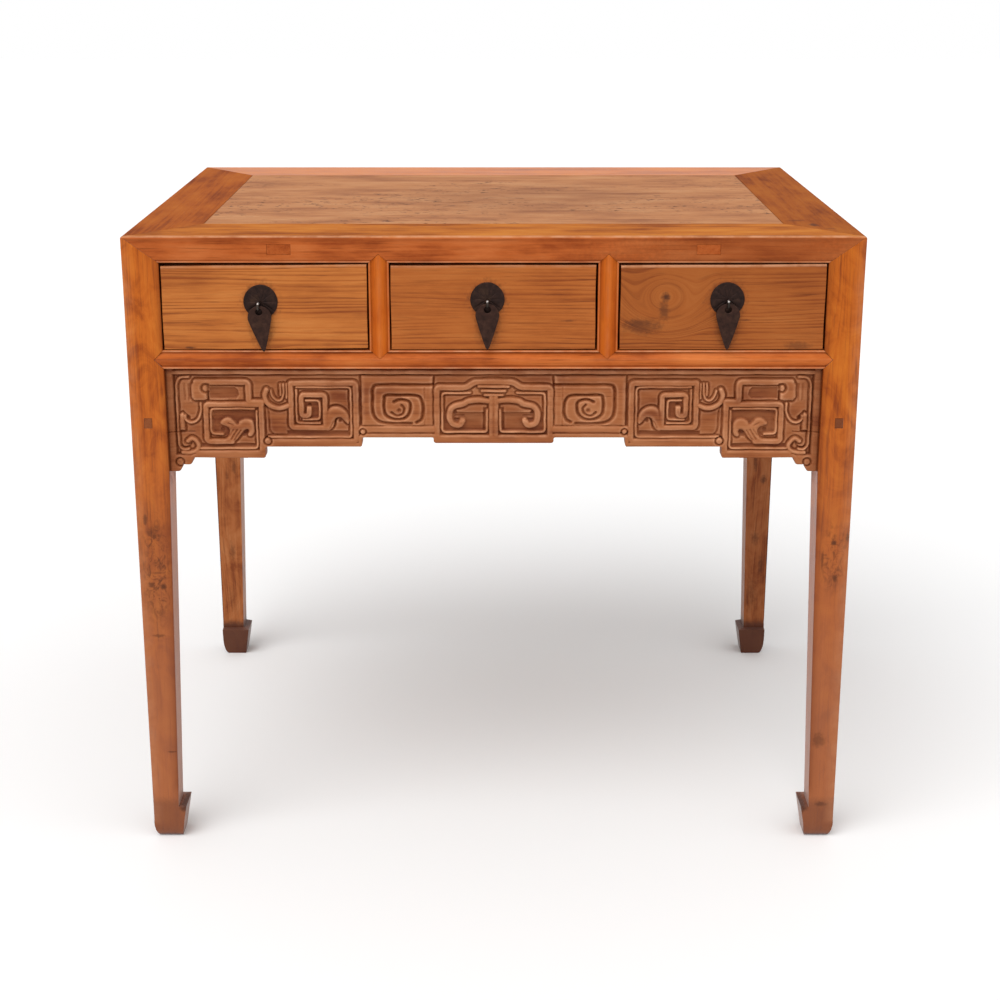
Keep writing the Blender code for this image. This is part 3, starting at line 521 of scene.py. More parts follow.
def smooth_path(points, closed=False, steps=6):
    """A rounded line through a few given points (Catmull-Rom)."""
    points = [np.array(p, float) for p in points]
    count = len(points)
    path = []
    for i in range(count if closed else count - 1):
        around = [i - 1, i, i + 1, i + 2]
        if closed:
            p0, p1, p2, p3 = (points[k % count] for k in around)
        else:
            p0, p1, p2, p3 = (points[min(max(k, 0), count - 1)] for k in around)
        for step in range(steps):
            t = step / steps
            path.append(tuple(0.5 * (2 * p1 + (p2 - p0) * t + (2 * p0 - 5 * p1 + 4 * p2 - p3) * t * t
                                     + (3 * p1 - p0 - 3 * p2 + p3) * t ** 3)))
    if not closed:
        path.append(tuple(points[-1]))
    return path


def round_corners(points, radius, steps=4):
    """A line of straight stretches with its inner corners rounded."""
    path = [points[0]]
    for a, b, c in zip(points, points[1:], points[2:]):
        corner = Vector(b)
        before, after = Vector(a) - corner, Vector(c) - corner
        cut = min(radius, before.length * 0.48, after.length * 0.48)
        start = corner + before.normalized() * cut
        end = corner + after.normalized() * cut
        for step in range(steps + 1):
            t = step / steps
            path.append(tuple(start * (1 - t) ** 2 + corner * 2 * t * (1 - t) + end * t * t))
    return path + [points[-1]]


# Carving of the front apron. Every place is in millimetres: out from the middle, and down from the top edge.
# One half is drawn, and the other mirrors it.

GROUND_DEPTH = 6.2
FIELD_RISE = 3.2
RIBBON_RISE = 6.0
CURL_RISE = 6.0
BEAD_RISE = 5.2
PAD_RISE = 5.8
RIBBON_ROUND = 0.32
CURL_ROUND = 0.45
PAD_ROUND = 4.0
RIBBON_CORNER = 4.5
BEAD_CORNER = 5.0
RIBBON_CROWN = 0.3
CURL_CROWN = 0.5
WALL_SLOPE = 2.6
GROOVE_FLOOR = 0.3
GROOVE_FLAT = 0.6
GROOVE_SLOPE = 0.95
GROOVE_REACH = 4.0
BOSS_GROOVE = (0.7, 1.7, 3.4)
EYE_DEPTH = 3.0
CARVING_STEP = 0.7
EDGE_ROUND = 1.0
RIM_WIDTH = 4.5
RIM_SLOPE = 1.5
SUNK_BY = 2.6
SUNK_SLOPE = 1.5

# Corners further down than this belong to the lower edge
LOWER_EDGE = 80.0
# Level of each block's lower edge, and how far the photo has it below the CAD edge
EDGE_LEVELS = {92.0: 2.6, 101.5: 0.8, 105.7: 1.7, 122.3: 0.6}
# Steps of the spandrel lean outwards: where each starts and ends, its level, how far it moves, its lean
SPANDREL_STEPS = [(390.0, 400.0, 122.3, 2.6, 0.25), (400.0, 414.0, 131.8, 0.5, 0.35)]

# Straight ribbons: points, width
RIBBONS = [
    # Middle block: frame with its stepped crown, ribs of the crown, post
    ([(0, 95.5), (74.5, 95.5), (74.5, 27), (36, 27), (25.5, 19.5), (0, 19)], 7.8),
    ([(0, 25.5), (19, 25.5)], 3.2),
    ([(0, 31.5), (15, 31.5)], 2.8),
    ([(0, 37), (11.5, 37)], 2.6),
    ([(3, 40), (3, 94.5)], 5.8),
    # Shallow block: foot
    ([(79.5, 84), (174, 84)], 9.8),
    # Second block: frame, left run and square spiral
    ([(292, 100.5), (180.5, 100.5), (180.5, 21), (264.5, 21)], 7.4),
    ([(265.5, 21), (265.5, 81.5), (218.5, 81.5)], 6.6),
    ([(221, 79.5), (221, 37), (252, 37), (252, 65.5), (242, 65.5), (242, 55)], 6.2),
    # Outer block: hook, inner frame, outer frame
    ([(389, 19.5), (321, 19.5), (321, 47), (304, 47)], 7.4),
    ([(304, 50), (377.5, 50), (377.5, 100.5), (344.5, 100.5)], 6.6),
    ([(305, 48.5), (305, 116), (390.5, 116)], 6.8),
    # Plain margins at the head and beside the leg
    ([(0, 6), (432.5, 6)], 5.4),
    ([(424.5, 2), (424.5, 143.5)], 12.0),
]

# Curved ribbons: points, width
CURLS = [
    # Middle block: band that curls back on itself
    ([(3.5, 45.5), (19, 44), (32.5, 45.5), (40, 49.5), (51.5, 52.5), (57, 59), (57.5, 69.5), (53.5, 76.5),
      (45.5, 78), (41, 72.5)], 7.4),
    # Second block: horned hook
    ([(297.5, 30), (300, 39), (297, 47.5), (289, 53.5), (279, 55), (268.5, 51.5)], 6.0),
    # Outer block: corner scroll
    ([(403, 100), (397.5, 96.5), (392, 100), (389, 107), (392.5, 113.5), (400.5, 116), (410, 115.5)], 5.0),
]

# Thin raised lines: points, width
BEADS = [
    # Middle block
    ([(8.5, 58), (8.5, 87.5), (67.5, 87.5), (67.5, 34.5), (31, 34.5)], 2.4),
    # Second block
    ([(296, 94.5), (187, 94.5), (187, 26.5), (258, 26.5)], 2.4),
    ([(258.5, 30.5), (258.5, 75.5), (228, 75.5)], 2.2),
    ([(246, 44.5), (228, 44.5), (228, 70.5), (250, 70.5)], 2.0),
    ([(291.5, 31.5), (289.5, 39.5), (283.5, 45.5), (277.5, 43.5), (275, 36), (275, 22.5)], 2.2),
    ([(279, 22.5), (279, 37.5)], 1.8),
    ([(271, 22.5), (271, 41.5)], 1.8),
    # Outer block
    ([(398.5, 12.5), (410, 13), (415, 20.5), (415, 105.5), (410, 112), (402.5, 111)], 2.4),
    ([(314.5, 55.5), (371.5, 55.5), (371.5, 90), (356.5, 90.5)], 2.4),
    ([(311, 59), (311, 110), (386.5, 110)], 2.4),
    ([(384, 48.5), (383.5, 59), (386.5, 68), (392.5, 74), (399.5, 75), (404.5, 71), (405, 66)], 2.4),
]

# Raised fields: outline
PADS = [
    # Hook: head
    [(395.5, 24), (392, 18.5), (377.5, 18.5), (375, 24.5), (375, 43), (380, 44.5), (392, 44.5), (395.5, 40)],
    # Head of the hanging hook, and the spandrel
    [(412.5, 63.5), (408, 61), (405.5, 64.5), (406, 85), (412.5, 85)],
    [(432.5, 118.5), (389, 118.5), (389, 146.5), (432.5, 146.5)],
    # Shallow block, on which its spiral is drawn by cut lines
    [(173, 10.8), (79.5, 10.8), (79.5, 79), (173, 79)],
]

# Raised fields with a flowing outline
FLOWING_PADS = [
    # Cloud with its two lobes and tail
    [(359.5, 76.5), (356.5, 71), (351, 68), (345, 69), (340.5, 73.5), (336.5, 76.5), (333.5, 72.5),
     (328, 69.5), (322, 69.5), (317, 72.5), (314.5, 78.5), (314.5, 86), (317, 92), (321, 94), (323.5, 91.5),
     (322, 86.5), (324.5, 84), (329, 86), (333.5, 92), (339.5, 99), (347, 103.5), (357.5, 103.5), (357.5, 98),
     (351.5, 95.5), (348, 90), (347.5, 84.5), (350.5, 80.5)],
    # Leaf off the square spiral
    [(219, 62), (214, 54.5), (206, 52.5), (197.5, 55.5), (192, 62), (189, 71.5), (191, 77), (195.5, 73),
     (200, 68), (205.5, 68), (209, 72), (210, 78.5), (214.5, 84.5), (220.5, 84)],
]

# Fields sunk below the rest: outline
SUNK_FIELDS = [
    [(369, 58), (312.5, 58), (312.5, 94), (369, 94)],
    [(386, 102.5), (310, 102.5), (310, 109.5), (386, 109.5)],
    [(272, 85.5), (190, 85.5), (190, 92.5), (272, 92.5)],
    [(66, 60), (9, 60), (9, 86.5), (66, 86.5)],
    [(373, 26), (338, 26), (334, 30.5), (333, 37.5), (337, 42.5), (373, 43)],
    [(250, 40), (224, 40), (224, 78), (250, 78)],
]

# Cut lines: points, width, depth
CUTS = [
    # Cloud and leaf
    ([(332.5, 85), (341, 97.5)], 1.7, 2.0),
    ([(337, 84), (345.5, 97)], 1.7, 2.0),
    ([(342, 84), (347.5, 92)], 1.6, 1.4),
    ([(348.5, 75), (342.5, 78)], 1.5, 1.3),
    ([(210.5, 73), (214.5, 82)], 1.6, 1.6),
    ([(207, 70.5), (210, 79.5)], 1.6, 1.6),
    # Field beside the second frame
    ([(300, 51), (296, 59), (294.5, 84), (290.5, 90.5)], 2.0, 2.0),
    # Curl of the hook's head
    ([(373.5, 22.5), (379.5, 22.8), (382.2, 28), (379, 33), (374, 33.6)], 2.4, 4.0),
    # Shallow block: a line beside the spiral, its outer edge, then inwards from the fat end to the eye
    ([(90.5, 27), (90.5, 78)], 1.5, 1.0),
    ([(80.5, 23), (120, 23), (150, 23.2), (157.5, 27), (158.6, 40), (158.2, 60), (152, 71.5), (138, 75.4),
      (108, 75.6)], 3.2, 4.4),
    ([(101, 74), (94.5, 69), (92.4, 55), (94.7, 43), (102, 37.6), (125.6, 37), (140.5, 37.6), (143.4, 43),
      (143.4, 58), (139.5, 65.6), (129.5, 70.2), (118, 69), (110.4, 61), (109.2, 50), (112.5, 44.8),
      (122.5, 43), (130.5, 46.2)], 3.0, 4.8),
    ([(134, 60.5), (127.5, 65), (119.5, 62.5), (117, 55.5), (121, 50.5)], 2.4, 3.8),
    # Hollows of the middle block
    ([(50.5, 65.5), (39.5, 65.5)], 1.8, 1.6),
    ([(50.5, 70.5), (40, 70.5)], 1.8, 1.6),
    ([(12.5, 54.5), (12.5, 84)], 2.0, 1.8),
    # Open seam across the spandrel, corner scroll, field beside the hook
    ([(430, 87.5), (393.5, 87)], 1.2, 1.8),
    ([(412, 107), (407, 109.5), (401.5, 107.5), (399, 103.5)], 1.8, 2.2),
    ([(404.5, 22.5), (404.5, 44)], 1.6, 1.3),
    ([(399, 22.5), (399, 44)], 1.6, 1.3),
    ([(374, 36), (374, 45)], 1.8, 2.2),
]

# Round bosses in a ring groove, and drilled eyes: place, radius
BOSSES = [((414.5, 128.5), 4.6), ((297.5, 100), 4.4), ((172, 87), 3.4)]
EYES = [((327, 87.5), 2.4), ((356.5, 84.5), 2.8), ((123.8, 58), 3.2), ((50.5, 61), 2.6), ((401.5, 68), 3.4),
        ((241.5, 51), 2.4), ((201.5, 72), 2.4)]


def near(px, pz, points, reach):
    """The grid points close enough to a line to be touched by it."""
    xs, zs = zip(*points)
    return np.nonzero((px > min(xs) - reach) & (px < max(xs) + reach)
                      & (pz > min(zs) - reach) & (pz < max(zs) + reach))


def shoulder(edge_distance, rise, rounding):
    """Height of a carved field by the distance in from its edge: a steep wall, then a rounded arris."""
    t = unit(edge_distance / rounding)
    arc = rise - rounding * 0.75 * (1.0 - np.sqrt(1.0 - (1.0 - t) ** 2))
    return np.where(edge_distance > 0.0, arc, np.clip(arc + edge_distance * WALL_SLOPE, 0.0, None))


def carved_shapes():
    """Every raised shape: its line, whether that is a closed outline, its width, rise, rounding and crown."""
    outlines = PADS + [smooth_path(outline, True, 4) for outline in FLOWING_PADS]
    shapes = [(outline, True, 0.0, PAD_RISE, PAD_ROUND, 0.0) for outline in outlines]
    for points, width in RIBBONS:
        path = round_corners(points, RIBBON_CORNER)
        shapes.append((path, False, width, RIBBON_RISE, width * RIBBON_ROUND, RIBBON_CROWN))
    for points, width in CURLS:
        shapes.append((smooth_path(points), False, width, CURL_RISE, width * CURL_ROUND, CURL_CROWN))
    for points, width in BEADS:
        shapes.append((round_corners(points, BEAD_CORNER), False, width, BEAD_RISE, width / 2, 0.0))
    return shapes


def carve_height(px, pz, rim):
    """Height of the carving over its deepest ground, in millimetres, at points given in millimetres."""
    wobble_x = 0.14 * np.sin(px * 0.31 + pz * 0.17) + 0.14 * np.sin(px * 0.083 - pz * 0.41)
    wobble_z = 0.12 * np.sin(px * 0.23 - pz * 0.29) + 0.14 * np.sin(px * 0.11 + pz * 0.13)
    half_x, down = np.abs(px) + wobble_x, pz + wobble_z
    height = FIELD_RISE + 0.25 * np.sin(px * 0.19 + 0.6 * np.sin(pz * 0.27)) * np.sin(pz * 0.23)
    for outline in SUNK_FIELDS:
        where = near(half_x, down, outline, 0.0)
        inside = -outline_distance(half_x[where], down[where], outline)[0]
        height[where] -= SUNK_BY * unit(inside / SUNK_SLOPE)
    rises = []
    for line, closed, width, rise, rounding, crown in carved_shapes():
        where = near(half_x, down, line, width / 2 + GROOVE_REACH)
        near_x, near_z = half_x[where], down[where]
        if closed:
            inside = -outline_distance(near_x, near_z, line)[0]
        else:
            inside = width / 2 - path_distance(near_x, near_z, line)
        groove = GROOVE_FLOOR + GROOVE_SLOPE * np.clip(-inside - GROOVE_FLAT, 0.0, None)
        height[where] = np.minimum(height[where], groove)
        across = 1.0 - unit(2 * inside / max(width, 0.1))
        rises.append((where, shoulder(inside, rise, rounding) - crown * across ** 2))
    for where, raised in rises:
        height[where] = np.maximum(height[where], raised)
    height = np.maximum(height, rim)
    for points, width, depth in CUTS:
        path = smooth_path(points)
        where = near(half_x, down, path, width)
        height[where] -= depth * unit(1.0 - path_distance(half_x[where], down[where], path) / width)
    beyond, groove_width, groove_depth = BOSS_GROOVE
    for (x, z), radius in BOSSES:
        distance = np.hypot(half_x - x, down - z)
        dome = RIBBON_RISE + 0.2 - 0.9 * unit(distance / radius) ** 3
        height = np.where(distance < radius, np.maximum(height, dome), height)
        height -= groove_depth * unit(1.0 - np.abs(distance - radius - beyond) / groove_width)
    for (x, z), radius in EYES:
        height -= EYE_DEPTH * unit(1.25 - np.hypot(half_x - x, down - z) / radius)
    return np.clip(height, -1.0, GROUND_DEPTH)


def blurred(values, rounds):
    for _ in range(rounds):
        padded = np.pad(values, 1, mode="edge")
        values = (padded[:-2, 1:-1] + padded[2:, 1:-1] + padded[1:-1, :-2] + padded[1:-1, 2:]) / 4
    return values


# Dirt and painted shade, and wear and painted highlight, of the carving: share, and the millimetres over
# which it grows
DIRT_AND_SHADE_IN_HOLLOWS = (0.82, 2.6)
DIRT_AND_SHADE_ON_GROUND = (0.5, 4.6)
SHADOW_UNDER_RAIL = (0.5, 9.0)
DIRT_AND_SHADE_AT_END = (1.0, 2.5)
SHADE_AT_END = (0.32, 12.0)
WEAR_AND_HIGHLIGHT_ON_CRESTS = (0.40, 1.8)
WEAR_AND_HIGHLIGHT_ON_ARRISES = (0.55, 0.9)
# Rounds of blurring that give the level round a point, wide and close
WIDE_BLUR = 26
CLOSE_BLUR = 8


def grown(rule, value):
    return rule[0] * unit(value / rule[1])


def carving_shading_and_wear(x, down, height):
    """Shares of dirt and painted shade in the hollows and of wear and painted highlight on the crests, at
    points given in millimetres.
    """
    from_end = inner_x / MM - np.abs(x)
    z = apron_high.z / MM - down
    level = blurred(height, WIDE_BLUR)
    uneven = 0.85 + 0.3 * np.sin(x * 0.11 + 1.7 * np.sin(z * 0.13)) * np.sin(z * 0.17 + x * 0.05)
    hollow = uneven * grown(DIRT_AND_SHADE_IN_HOLLOWS, level - height)
    hollow = blurred(hollow + grown(DIRT_AND_SHADE_ON_GROUND, DIRT_AND_SHADE_ON_GROUND[1] - height), 3)
    # Painted shadow of the rail's overhang along the head of the apron
    hollow += grown(SHADOW_UNDER_RAIL, SHADOW_UNDER_RAIL[1] - down)
    hollow += grown(DIRT_AND_SHADE_AT_END, DIRT_AND_SHADE_AT_END[1] - from_end)
    hollow += grown(SHADE_AT_END, 2 * SHADE_AT_END[1] - from_end)
    crest = grown(WEAR_AND_HIGHLIGHT_ON_CRESTS, height - level)
    crest += blurred(grown(WEAR_AND_HIGHLIGHT_ON_ARRISES, height - blurred(height, CLOSE_BLUR)), 1)
    return {"hollow": unit(hollow), "crest": crest * unit(from_end / SHADE_AT_END[1] - 0.5)}


def worn_corner(x, z):
    """Where a corner of the CAD apron's outline goes in the carved piece."""
    away, down = abs(x) / MM, (apron_high.z - z) / MM
    if down < LOWER_EDGE:
        return x, z
    for start, end, level, moved, lean in SPANDREL_STEPS:
        if start < away < end:
            return math.copysign((away + moved + lean * (down - level)) * MM, x), z
    if away < SPANDREL_STEPS[0][0]:
        nearest = min(EDGE_LEVELS, key=lambda level: abs(level - down))
        down += EDGE_LEVELS[nearest]
    return x, apron_high.z - down * MM


def relief_form(px, py, pz, kept):
    """An open sheet over the kept points of a grid, and which points it uses."""
    cells = kept[:-1, :-1] & kept[1:, :-1] & kept[:-1, 1:] & kept[1:, 1:]
    rows, columns = cells.shape
    used = np.zeros(kept.shape, bool)
    for dz in (0, 1):
        for dx in (0, 1):
            used[dz:rows + dz, dx:columns + dx] |= cells
    index = np.cumsum(used).reshape(kept.shape) - 1
    corners = (index[:-1, :-1], index[:-1, 1:], index[1:, 1:], index[1:, :-1])
    faces = np.stack([corner[cells] for corner in corners], axis=1)
    relief = bpy.data.meshes.new("relief")
    relief.from_pydata(np.stack([px[used], py[used], pz[used]], axis=1).tolist(), [], faces.tolist())
    form = bmesh.new()
    form.from_mesh(relief)
    bpy.data.meshes.remove(relief)
    return form, used


def make_front_apron():
    """The apron as one closed relief inside the CAD outline, with its crests in the CAD face."""
    outline = [worn_corner(x, z) for x, z in face_loops("front_apron", apron_low.y)[0]]
    step = CARVING_STEP * MM
    columns = round((apron_high.x - apron_low.x) / step)
    rows = round((apron_high.z - apron_low.z) / step)
    px, pz = np.meshgrid(np.linspace(apron_low.x, apron_high.x, columns + 1),
                         np.linspace(apron_low.z, apron_high.z, rows + 1))
    inward, near_x, near_z = outline_distance(px, pz, outline)
    on_edge = np.abs(inward) < 0.5 * step
    px = np.where(on_edge, near_x, px)
    pz = np.where(on_edge, near_z, pz)
    x, down = px / MM, (apron_high.z - pz) / MM
    depth_in = np.clip(-inward, 0.0, None) / MM
    on_lower_edge = (near_z < apron_high.z - LOWER_EDGE * MM) & (np.abs(near_x) < inner_x - 0.5 * MM)
    rim = RIBBON_RISE * unit((RIM_WIDTH + RIM_SLOPE - depth_in) / RIM_SLOPE) * on_lower_edge
    height = carve_height(x, down, rim)
    edge = np.clip(EDGE_ROUND - depth_in, 0.0, EDGE_ROUND)
    drop = EDGE_ROUND - np.sqrt(EDGE_ROUND ** 2 - edge ** 2)
    py = apron_low.y + (GROUND_DEPTH - height + drop) * MM
    form, used = relief_form(px, py, pz, inward < 0.5 * step)
    close_back(form, apron_high.y)
    mesh = mesh_of("carved_front_apron", form)
    for label, values in carving_shading_and_wear(x, down, height).items():
        attribute = mesh.attributes.new(label, "FLOAT", "POINT")
        filled = np.zeros(len(mesh.vertices), np.float32)
        filled[:np.count_nonzero(used)] = values[used]
        attribute.data.foreach_set("value", filled)
    finish = wood("elm_carved_apron", "X", APRON_WOOD, 5.3, rings=0.0075, contrast=0.2, pores=0.4, cloud=1.2,
                  roughness=0.46, relief=True, grime=0.0)
    place_piece("carved_front_apron", mesh, finish, "frame", ["front_apron"], 75)


# Stains of the frame, and a painted shadow at each front hoof: place, reach and strength, from rows in
# millimetres

STAIN_DEPTH = 20.0
TOP_STAIN_DEPTH = 4.0


def on_face(y, rows):
    """Stains and painted shadows on an upright face: x, z, half width, half height, strength."""
    return [((x * MM, y, z * MM), (wide * MM, STAIN_DEPTH * MM, tall * MM), strength)
            for x, z, wide, tall, strength in rows]


def on_top(rows):
    """Stains on the table's top: x, distance from the front, half width, half length, strength."""
    return [((x * MM, front_y + y * MM, table_height), (wide * MM, long * MM, TOP_STAIN_DEPTH * MM), strength)
            for x, y, wide, long, strength in rows]


FRONT_LEG_ROWS = {
    "left": [(-463.5, 472, 4, 11, 0.65), (-454, 455, 8, 11, 0.35), (-444, 376.5, 6, 7.5, 0.85),
             (-450, 396, 14, 2.6, 0.45), (-453, 305, 13, 3.4, 0.55), (-445, 132, 8.5, 2, 0.65)],
    "right": [(454.5, 439, 5.5, 4.5, 0.80), (472.5, 446, 3.6, 8, 0.85), (458.5, 388, 5, 8, 0.80),
              (440, 415, 2.8, 18, 0.55), (448, 150, 13, 16, 0.50), (456, 52, 12, 5, 0.60)],
}
BACK_LEG_ROWS = {
    "left": [(-443, 345, 6, 22, 0.55), (-456, 330, 4, 14, 0.50), (-453, 190, 8, 26, 0.55),
             (-456, 100, 12, 40, 0.35)],
    "right": [(462, 322, 7, 12, 0.85), (447, 350, 5, 20, 0.60), (452, 215, 11, 16, 0.60),
              (464, 165, 7, 30, 0.65), (450, 110, 20, 50, 0.45)],
}
STAINS_AND_SHADOWS = {
    "top_frame_front": [((0.33, front_y, 0.832), (0.26, 0.02, 0.05), 0.32)],
    "top_panel": [((0.06, 0.0, table_height), (0.30, 0.20, 0.02), 0.18)],
    "top_frame_left": on_top([(-437, 22, 6, 6, 0.85)]),
    "top_frame_right": on_top([(423, 90, 8, 17, 0.80), (405, 125, 18, 9, 0.45), (440, 60, 10, 8, 0.35)]),
    # End grain of the side aprons' tenons, which come through the front legs
    "side_apron_left": [((-0.451, front_y, 0.6055), (0.020, 0.006, 0.020), 0.62)],
    "side_apron_right": [((0.451, front_y, 0.6055), (0.020, 0.006, 0.020), 0.75)],
}
for side, out in (("left", -1), ("right", 1)):
    # Dark mark on each front hoof's inner lip: a dark stain and a painted shadow under the hook
    toe = ((out * 0.4315, front_y + 0.01, 0.046), (0.0085, 0.06, 0.0095), 0.98)
    STAINS_AND_SHADOWS["leg_front_" + side] = on_face(front_y, FRONT_LEG_ROWS[side]) + [toe]
    STAINS_AND_SHADOWS["leg_back_" + side] = on_face(back_leg_low.y, BACK_LEG_ROWS[side])
STAINS_AND_SHADOWS["leg_front_left"].append(((-0.454, front_y, 0.410), (0.034, 0.05, 0.150), 0.15))

# Mottled patches of burl in the front legs
BURLS = {
    "leg_front_left": [((-0.452, front_y, 0.400), (0.026, 0.05, 0.105), 0.75)],
    "leg_front_right": [((0.455, front_y, 0.420), (0.024, 0.05, 0.070), 0.55)],
}


def finish_of(name, axis, colour, **options):
    """A node's own finish: its grain differs from its neighbours', and it bears its own stains and painted
    shadows.
    """
    seed = 1.0 + 0.37 * sorted(nodes).index(name)
    return wood("elm_" + name, axis, colour, seed, marks=STAINS_AND_SHADOWS.get(name, ()), burls=BURLS.get(name, ()),
                **options)


# Front frame and legs: CAD solids with moulded faces
# Mouldings, in millimetres: distance in from the edge, depth behind the face, share dark (painted shade),
# share pale (wear and painted highlight)

HEAD_BEAD = [(0.0, 1.0, 0.2, 0.0), (0.5, 0.4, 0.0, 0.2), (1.3, 0.1, 0.0, 0.8), (2.2, 0.0, 0.0, 0.5),
             (3.2, 0.2, 0.1, 0.0), (4.0, 0.9, 0.45, 0.0), (4.8, 0.5, 0.35, 0.0), (6.0, 0.1, 0.15, 0.0),
             (9.0, 0.0, 0.0, 0.0)]
RAIL_RIDGE = [(0.0, 2.2, 0.3, 0.0), (0.5, 1.4, 0.0, 0.4), (1.2, 0.95, 0.0, 1.0), (2.0, 0.95, 0.0, 0.5),
              (2.7, 1.5, 0.3, 0.0), (3.4, 2.7, 0.65, 0.0), (4.4, 2.0, 0.4, 0.0), (6.5, 1.1, 0.1, 0.0),
              (9.0, 0.4, 0.0, 0.0), (12.5, 0.0, 0.0, 0.1)]
DIVIDER_RIDGE = [(0.0, 2.2, 0.4, 0.0), (0.5, 1.4, 0.1, 0.1), (1.2, 0.95, 0.0, 0.35), (2.0, 0.95, 0.0, 0.2),
                 (2.7, 1.5, 0.3, 0.0), (3.4, 2.6, 0.5, 0.0), (4.4, 2.1, 0.3, 0.0), (8.0, 1.1, 0.1, 0.0),
                 (11.6, 0.2, 0.0, 0.1), (13.25, 0.0, 0.0, 0.15)]
LEG_INNER = [(0.0, 1.4, 0.58, 0.0), (0.6, 0.8, 0.54, 0.0), (1.5, 0.45, 0.48, 0.0), (3.0, 0.2, 0.38, 0.0),
             (5.0, 0.05, 0.26, 0.0), (8.0, 0.0, 0.13, 0.0), (13.0, 0.0, 0.0, 0.0)]
LEG_OUTER = [(0.0, 2.4, 0.0, 0.28), (0.2, 1.95, 0.0, 0.28), (0.7, 1.65, 0.0, 0.28), (1.6, 1.35, 0.0, 0.26),
             (3.0, 1.0, 0.0, 0.24), (5.5, 0.6, 0.0, 0.20), (9.0, 0.25, 0.0, 0.12), (13.0, 0.06, 0.0, 0.05),
             (16.0, 0.0, 0.0, 0.0)]
RIDGE_DEPTH = 2.2 * MM
DIVIDER_HALF = 13.25 * MM

# Arris of the head, pale with wear and a painted highlight: how far down and back it is pale, and how pale
ARRIS_DOWN = 1.65 * MM
ARRIS_BACK = 6.0 * MM
ARRIS_PALE = 0.8
# Shade under that arris: place, reach, share
HEAD_SHADE = (4.2 * MM, 4.0 * MM, 0.4)
HEAD_SHARE = (table_height - top_underside) / (half_width - inner_x)

# Legs: ankle, heights where the inner moulding runs out and the outer arris lessens, levels cut, fading
ANKLE_X = half_width - 0.0355
ANKLE_Z = 0.050
RUN_OUT = (0.052, 0.080)
ARRIS_SPAN = (0.79, 0.84)
ARRIS_SHARES = (1.0, 0.4)
LEG_LEVELS = (0.016, 0.030, 0.060, 0.070, 0.30, apron_low.z, *RUN_OUT, *ARRIS_SPAN)
LEG_FADE = (0.16, 0.72, (0.34, 0.118, 0.054))
WORN_BACK = 4.0 * MM


def moulding(table, distance):
    """Depth, dark and pale shares of a moulding at a distance from its edge in metres."""
    places = [row[0] for row in table]
    return np.array([np.interp(distance / MM, places, [row[k] for row in table]) for k in (1, 2, 3)])


def steps_of(table):
    return [row[0] * MM for row in table[1:]]


def outer_arris(point):
    share = float(np.interp(point.z, ARRIS_SPAN, ARRIS_SHARES))
    return moulding(LEG_OUTER, half_width - abs(point.x)) * share


def cuts_across(axis, places):
    """Planes square to an axis, each as a point and a normal."""
    normal = [0.0, 0.0, 0.0]
    normal[axis] = 1.0
    return [([place * n for n in normal], normal) for place in places]


def reshape(node, cuts, surface, finish):
    """A copy of a CAD node, cut in strips at planes, whose points go where the surface function puts them."""
    form = bmesh.new()
    form.from_mesh(nodes[node].data)
    bmesh.ops.remove_doubles(form, verts=form.verts, dist=WELD_DISTANCE)
    bmesh.ops.dissolve_limit(form, angle_limit=FLAT_ANGLE, verts=form.verts, edges=form.edges)
    for place, normal in cuts:
        geometry = form.verts[:] + form.edges[:] + form.faces[:]
        bmesh.ops.bisect_plane(form, geom=geometry, dist=1e-6, plane_co=place, plane_no=normal)
    dark, pale = shade_and_wear_layers(form)
    for vertex in form.verts:
        vertex.co, vertex[dark], vertex[pale] = surface(vertex.co)
    name = "moulded_" + node
    place_piece(name, mesh_of(name, form), finish, "frame", [node], 32)


def make_leg(side, end):
    """A leg whose front is rounded to the outer arris, and eased along the inner edges of both show faces."""
    front = end < 0
    plane = front_y if front else back_leg_high.y
    hand = "left" if side < 0 else "right"
    node = "leg_%s_%s" % ("front" if front else "back", hand)
    lean = Vector((ANKLE_X - inner_x, 0.0, ANKLE_Z - apron_low.z))
    cuts = cuts_across(2, sorted(LEG_LEVELS))
    for distance in steps_of(LEG_INNER):
        x = side * (inner_x + distance)
        y = plane - end * (half_width - inner_x - distance)
        cuts += cuts_across(0, [x]) + cuts_across(1, [y])
        cuts.append(((x, 0.0, apron_low.z), (-lean.z, 0.0, side * lean.x)))
        cuts.append(((0.0, y, apron_low.z), (0.0, -lean.z, end * lean.x)))
    cuts += cuts_across(0, [side * (half_width - step) for step in steps_of(LEG_OUTER)])
    cuts += cuts_across(1, [plane - end * WORN_BACK])

    def surface(point):
        moved = point.copy()
        share = float(np.interp(point.z, RUN_OUT, (0.0, 1.0)))
        width = half_width - float(np.interp(point.z, (ANKLE_Z, apron_low.z), (ANKLE_X, inner_x)))
        shape = np.zeros(3)
        if abs(point.y - plane) < SAME_PLANE:
            shape = share * moulding(LEG_INNER, abs(point.x) - half_width + width) + outer_arris(point)
            moved.y -= end * shape[0] * MM
        if abs(abs(point.x) - half_width) < SAME_PLANE:
            aside = share * moulding(LEG_INNER, width - abs(point.y - plane))
            moved.x -= side * aside[0] * MM
            shape = shape + aside
        # The inner face above the apron's lower edge is painted fully dark: painted shade in the drawer gap
        # and beside the apron
        if abs(abs(point.x) - inner_x) < SAME_PLANE and point.z > apron_low.z - SAME_PLANE:
            return moved, 1.0, 0.0
        return moved, min(shape[1], 1.0), min(shape[2], 1.0)

    finish = finish_of(node, "Z", (LEG_WOODS if front else BACK_LEG_WOODS)[hand], contrast=0.22, wander=0.016,
                       cloud=1.2, swirl=1.2, relief=True, grime=0.75, specular=0.12, sheen=0.35,
                       foot=0.45 if front else 0.9, fade=LEG_FADE if front else None)
    reshape(node, cuts, surface, finish)


